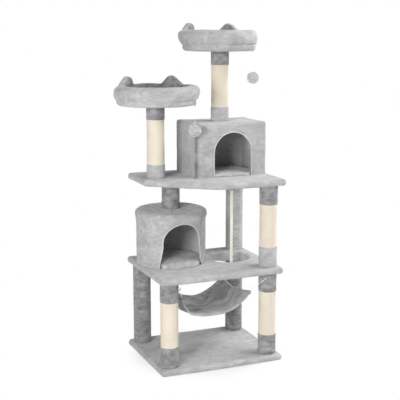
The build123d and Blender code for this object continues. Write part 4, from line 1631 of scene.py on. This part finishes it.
@dataclass
class Perch:
    """Round perch: a plush board and a stuffed rim with two cat ears."""

    name: str
    finishes: Finishes
    seed: float
    # How far the soft rim's top leans sideways and how far the cover is pulled the same way
    lean: Flat = (0.0, 0.0)
    pull: Flat = (0.0, 0.0)
    # How far the rim's top sinks and how far its sewn edge hangs over the board
    settle: float = 6 * MM
    overlap: float = 6 * MM
    rise: float = 3.5 * MM
    edge: float = 16 * MM
    seam: float = 2 * MM
    steps: int = 96

    def build(self) -> None:
        """Make the board's cover and the rim."""
        low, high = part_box(f"{self.name}_cover")
        axis = centre_of(f"{self.name}_cover")
        radius = (high.x - low.x) / 2
        edge = self.edge
        quarter = [math.pi / 2 * i / 5 for i in range(1, 6)]
        bottom = low.z + self.rise
        under = [(0.0, low.z), (0.3 * radius, low.z), (0.6 * radius, low.z + 0.3 * self.rise), (radius - edge, bottom)]
        lower = [(radius - edge + edge * math.sin(a), bottom + edge - edge * math.cos(a)) for a in quarter]
        seam = self.seam
        upper = [(radius - seam + seam * math.cos(a), high.z - seam + seam * math.sin(a)) for a in quarter]
        rings = [((radius - seam) * (1 - i / 9), high.z) for i in range(1, 10)]
        bm = lathe([*under, *lower, (radius, high.z - seam), *upper, *rings], axis, self.steps)
        bmesh.ops.translate(bm, verts=bm.verts, vec=(*self.pull, 0.0))
        cover = to_object(bm, f"{self.name}_bed")
        ruffle(cover, 1.6 * MM, 40 * MM, self.seed)
        dress(cover, Body.TOWER, Slot.PLUSH, [self.finishes.plush], f"{self.name}_cover")
        self.rim(axis, radius, high.z)

    def rim(self, axis: Flat, board: float, seam: float) -> None:
        """Make the stuffed rim: the construction's ring and ears, filled out to a fuller outer face.

        Args:
            axis: Where the perch's axis stands.
            board: Radius of the wrapped board.
            seam: Height at which the rim is sewn to the board.
        """
        low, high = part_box(f"{self.name}_rim")
        outer = (high.x - low.x) / 2
        inner = board - 30 * MM
        sewn = seam - self.overlap
        skirt = [
            (inner, seam + 1 * MM),
            (board - 5 * MM, seam + 1 * MM),
            (board - 5 * MM, sewn),
            (board + 2 * MM, sewn),
            (board + 7 * MM, sewn + 6 * MM),
            (outer - 2 * MM, sewn + 20 * MM),
            (outer, sewn + 34 * MM),
            (outer, seam + 46 * MM),
            (outer - 4 * MM, seam + 56 * MM),
            (inner, seam + 58 * MM),
            (inner, seam + 1 * MM),
        ]
        ring = to_object(lathe(skirt, axis, self.steps), "skirt")
        rim = solid_copy(f"{self.name}_bolster", f"{self.name}_rim")
        join(rim, ring)
        for vert in rim.data.vertices:
            share = min(1.0, max(0.0, (vert.co.z - seam) / (50 * MM)))
            vert.co += Vector((*self.lean, -self.settle)) * share + Vector((*self.pull, 0.0))
        swell(rim, 4.0 * MM, lambda p: p.z < sewn + 6 * MM, 4.0, 0.0, 4 * MM)
        ruffle(rim, 2.0 * MM, 45 * MM, self.seed + 1.0, floor=sewn + 5 * MM)
        # The rim's inner faces take the darker plush: painted shade inside the bowl
        dress(rim, Body.TOWER, Slot.PLUSH, [self.finishes.plush, self.finishes.brushed], f"{self.name}_rim")
        line_inside(rim, lambda f: f.normal.x * (f.center.x - axis[0]) + f.normal.y * (f.center.y - axis[1]) < -0.05)


# Hammock


@dataclass
class Hammock:
    """A sheet of doubled plush that hangs by its side hems on two cords."""

    cords: HammockCords
    finishes: Finishes
    half_width: float = 164 * MM
    half_depth: float = 160 * MM
    corner_z: float = 327 * MM
    side_sag: float = 25 * MM
    belly_sag: float = 80 * MM
    front_lift: float = 18 * MM
    left_fullness: float = 10.0
    right_fullness: float = 2.2
    back_fullness: float = 1.9
    cut_width: float = 418 * MM
    cut_length: float = 356 * MM
    cells: tuple[int, int] = (60, 50)
    folds: float = 4.5
    fold_depth: float = 6 * MM
    fold_shade: float = 0.7
    thickness: float = 9 * MM
    thin_share: float = 0.45
    hem: float = 34 * MM
    valance: float = 12 * MM
    band: float = 14 * MM
    # How squarely the front band ends at each side
    left_end: float = 24.0
    right_end: float = 6.0
    frames: int = 45
    cap: float = 5 * MM
    roll: float = 9 * MM

    def build(self) -> None:
        """Make the cloth, let it hang, and roll its side hems round the cords."""
        sheet = self.flat_sheet()
        start = [v.co.copy() for v in sheet.data.vertices]
        cloth = sheet.modifiers.new("hanging", "CLOTH")
        cloth.settings.vertex_group_mass = "sides"
        cloth.settings.rest_shape_key = sheet.data.shape_keys.key_blocks["cut"]
        cloth.settings.quality = 8
        cloth.settings.air_damping = 4.0
        cloth.settings.tension_stiffness = 20.0
        cloth.settings.compression_stiffness = 20.0
        cloth.settings.bending_stiffness = 0.4
        run_cloth(sheet, self.frames, start, self.cap)
        sheet.shape_key_clear()
        self.gather(sheet)
        wall = sheet.modifiers.new("doubled", "SOLIDIFY")
        wall.thickness = self.thickness
        wall.offset = -1.0
        wall.vertex_group = "hems"
        wall.thickness_vertex_group = self.thin_share
        soft = sheet.modifiers.new("soft", "SUBSURF")
        soft.levels = 1
        soft.render_levels = 1
        bake(sheet)
        sheet.data.shade_smooth()
        dress(sheet, Body.TOWER, Slot.HAMMOCK, [self.finishes.hammock, self.finishes.plush], "hammock_cloth")
        # The front band takes the paler plush: painted light where the band faces the lamps
        for face in sheet.data.polygons:
            face.material_index = int(face.center.y < self.valance - self.half_depth)
        rolls = [self.side_hem(side, word) for side, word in ((-1, "left"), (1, "right"))]

    def flat_sheet(self) -> bpy.types.Object:
        """The cloth, bent roughly to its hanging shape, with its flat cut as the shape that it wants to keep."""
        bm = bmesh.new()
        bmesh.ops.create_grid(bm, x_segments=self.cells[0], y_segments=self.cells[1], size=1.0)
        places = [v.co.copy() for v in bm.verts]
        for vert, place in zip(bm.verts, places):
            side_z = self.corner_z - self.side_sag * (1 - place.y**2)
            front = self.left_fullness if place.x < 0 else self.right_fullness
            fullness = self.back_fullness + (front - self.back_fullness) * (1 - place.y) / 2
            sag = self.belly_sag - self.front_lift * max(0.0, -place.y)
            drop = sag * (1 - abs(place.x) ** fullness)
            vert.co = (place.x * self.half_width, place.y * self.half_depth, side_z - drop)
        sheet = to_object(bm, "hammock_sheet", sharp=180.0)
        sheet.shape_key_add(name="Basis")
        cut = sheet.shape_key_add(name="cut")
        cut.value = 0.0
        for point, place in zip(cut.data, places):
            point.co = (place.x * self.cut_width / 2, place.y * self.cut_length / 2, self.corner_z)
        sides = sheet.vertex_groups.new(name="sides")
        sides.add([i for i, p in enumerate(places) if abs(p.x) > 0.999], 1.0, "REPLACE")
        hems = sheet.vertex_groups.new(name="hems")
        edge = 1 - 2 * self.hem / self.cut_length
        hems.add([i for i, p in enumerate(places) if abs(p.y) > edge], 1.0, "REPLACE")
        return sheet

    def gather(self, sheet: bpy.types.Object) -> None:
        """Lay folds into the cloth, which run in from the gathered side hems, with painted shade in their hollows.

        Args:
            sheet: The hanging cloth.
        """
        moves, painted_fold_shade = [], []
        for vert in sheet.data.vertices:
            across = vert.co.x / self.half_width
            along = vert.co.y / self.half_depth
            waver = 1.4 * noise.noise(Vector((2.2 * across, 1.5 * along, 4.0)))
            wave = math.sin(math.pi * (self.folds * along + waver))
            inward = 1 - max(0.0, -along) ** 2
            share = (1 - abs(across) ** 10) * (0.3 + 0.7 * abs(across)) * inward
            moves.append(vert.normal * self.fold_depth * wave * share)
            # Painted shade in the hollows of the folds
            painted_fold_shade.append(self.fold_shade * max(0.0, -wave) * share)
        for vert, move in zip(sheet.data.vertices, moves):
            vert.co += move
            self.bend_hem(vert)
        sheet.data.update()
        paint_crease_shade(sheet, painted_fold_shade)

    def bend_hem(self, vert: bpy.types.MeshVertex) -> None:
        """Bend the cloth's front hem down, so that it hangs as a band between the two cords.

        Args:
            vert: A point of the cloth.
        """
        bend = self.half_depth - self.valance
        start = bend - self.hem
        reach = (-vert.co.y - start) / (self.half_depth - start)
        if reach <= 0:
            return
        run = reach * (self.hem + self.valance * math.pi / 2 + self.band)
        turn = min(max(0.0, (run - self.hem) / self.valance), math.pi / 2)
        straight = max(0.0, run - self.hem - self.valance * math.pi / 2)
        bent_y = -(start + min(run, self.hem) + self.valance * math.sin(turn))
        fall = self.valance * (1 - math.cos(turn)) + straight
        across = max(-1.0, min(1.0, vert.co.x / self.half_width))
        share = 1 - abs(across) ** (self.left_end if across < 0 else self.right_end)
        vert.co.y += (bent_y - vert.co.y) * share
        vert.co.z -= fall * share

    def side_hem(self, side: int, word: str) -> bpy.types.Object:
        """A side hem, rolled round its cord along the front half.

        Args:
            side: 1 on the right and -1 on the left.
            word: The side's name.

        Returns:
            The hem, one mesh.
        """
        hem = curve_mesh(cord_curve(f"hammock_{word}_hem", self.cords.points(side)[1:4], self.roll))
        ruffle(hem, 1.2 * MM, 18 * MM, 4.0 + side)
        return dress(hem, Body.TOWER, Slot.HAMMOCK, [self.finishes.hammock])


# Assembly


SLEEVES = (
    "lower_front_left_post_foot_sleeve",
    "lower_front_left_post_head_sleeve",
    "lower_front_right_post_foot_sleeve",
    "lower_front_right_post_head_sleeve",
    "lower_back_left_post_sleeve",
    "lower_back_right_post_sleeve",
    "upper_front_post_foot_sleeve",
    "upper_front_post_head_sleeve",
    "upper_back_post_sleeve",
    "condo_post_sleeve",
    "left_perch_post_foot_sleeve",
    "left_perch_post_head_sleeve",
    "top_perch_post_foot_sleeve",
    "top_perch_post_head_sleeve",
)
# Sleeves that keep the plain plush; the others take the darker plush, which paints shade on those under the plates
UNSHADED_SLEEVES = (
    "upper_front_post_foot_sleeve",
    "upper_back_post_sleeve",
    "left_perch_post_foot_sleeve",
    "top_perch_post_foot_sleeve",
)
SISAL_POSTS = (
    "lower_front_left_post",
    "lower_front_right_post",
    "upper_front_post",
    "left_perch_post",
    "top_perch_post",
)


def four_around(centre: Flat, reach: Flat) -> tuple[Flat, ...]:
    """Four places in a rectangle, seen from above.

    Args:
        centre: Middle of the rectangle.
        reach: How far the places are from it along X and along Y.

    Returns:
        The places.
    """
    return tuple((centre[0] + i * reach[0], centre[1] + k * reach[1]) for i in (-1, 1) for k in (-1, 1))


def finish_construction(finishes: Finishes) -> None:
    """Give the construction's own solids that stay in view their finish.

    Args:
        finishes: The materials.
    """
    by_slot = {
        Slot.BOARD.value: finishes.board,
        Slot.TUBE.value: finishes.tube,
        Slot.PLUG.value: finishes.plug,
        Slot.STEEL.value: finishes.steel,
    }
    for part in frame["record"]["subparts"]:
        node = frame["nodes"][part["node"]]
        material = by_slot.get(part["material_slot"])
        if material is not None and not node.hide_render:
            node.data.materials.clear()
            node.data.materials.append(material)
            log.info("%s keeps its own shape", node.name)


def main() -> None:
    """Build every piece in order."""
    logging.basicConfig(level=logging.INFO, format="%(name)s: %(message)s")
    Studio().build()
    finishes = Finishes()
    cords = HammockCords(finishes)
    cords.build()
    Rope(finishes).build()
    Pompom("left_pompom", Body.LEFT_POMPOM, finishes, seed=11).build()
    Pompom("top_pompom", Body.TOP_POMPOM, finishes, seed=23).build()
    hole = (147 * MM, 50 * MM, 106 * MM)
    bolts = four_around((0.0, 0.0), (247 * MM, 190 * MM))
    round_screws = four_around((-137 * MM, 76 * MM), (70.7 * MM, 70.7 * MM))
    box_screws = four_around((116 * MM, 65 * MM), (100 * MM, 60 * MM))
    WrappedPlate("base_plush", "base_cover", finishes, 1.0, recesses=bolts, recess_radius=11 * MM).build()
    WrappedPlate("middle_plush", "middle_cover", finishes, 2.0, hole=hole, recesses=round_screws).build()
    upper_cut = (231 * MM, 276 * MM)
    WrappedPlate("upper_plush", "upper_cover", finishes, 3.0, cut=upper_cut, recesses=box_screws).build()
    HoleLining(finishes, *hole).build()
    for number, node in enumerate(SLEEVES):
        # The other sleeves take the darker plush: painted shade on those under the plates
        finish = finishes.plush if node in UNSHADED_SLEEVES else finishes.brushed
        PlushSleeve(node, finish, seed=1.3 * number).build()
    for post in SISAL_POSTS:
        WoundSisal(f"{post}_sisal", finishes).build()
    RoundCondo(finishes).build()
    BoxCondo(finishes).build()
    left = Perch("left_perch", finishes, 2.0, lean=(5 * MM, -2 * MM), pull=(4 * MM, -1.6 * MM))
    left.settle, left.overlap = 9 * MM, 9 * MM
    left.build()
    top = Perch("top_perch", finishes, 7.0, lean=(-7 * MM, 3 * MM), pull=(-4.5 * MM, 1.8 * MM))
    top.settle, top.overlap = 2 * MM, 4 * MM
    top.build()
    Hammock(cords, finishes).build()
    finish_construction(finishes)


if __name__ == "__main__":
    main()
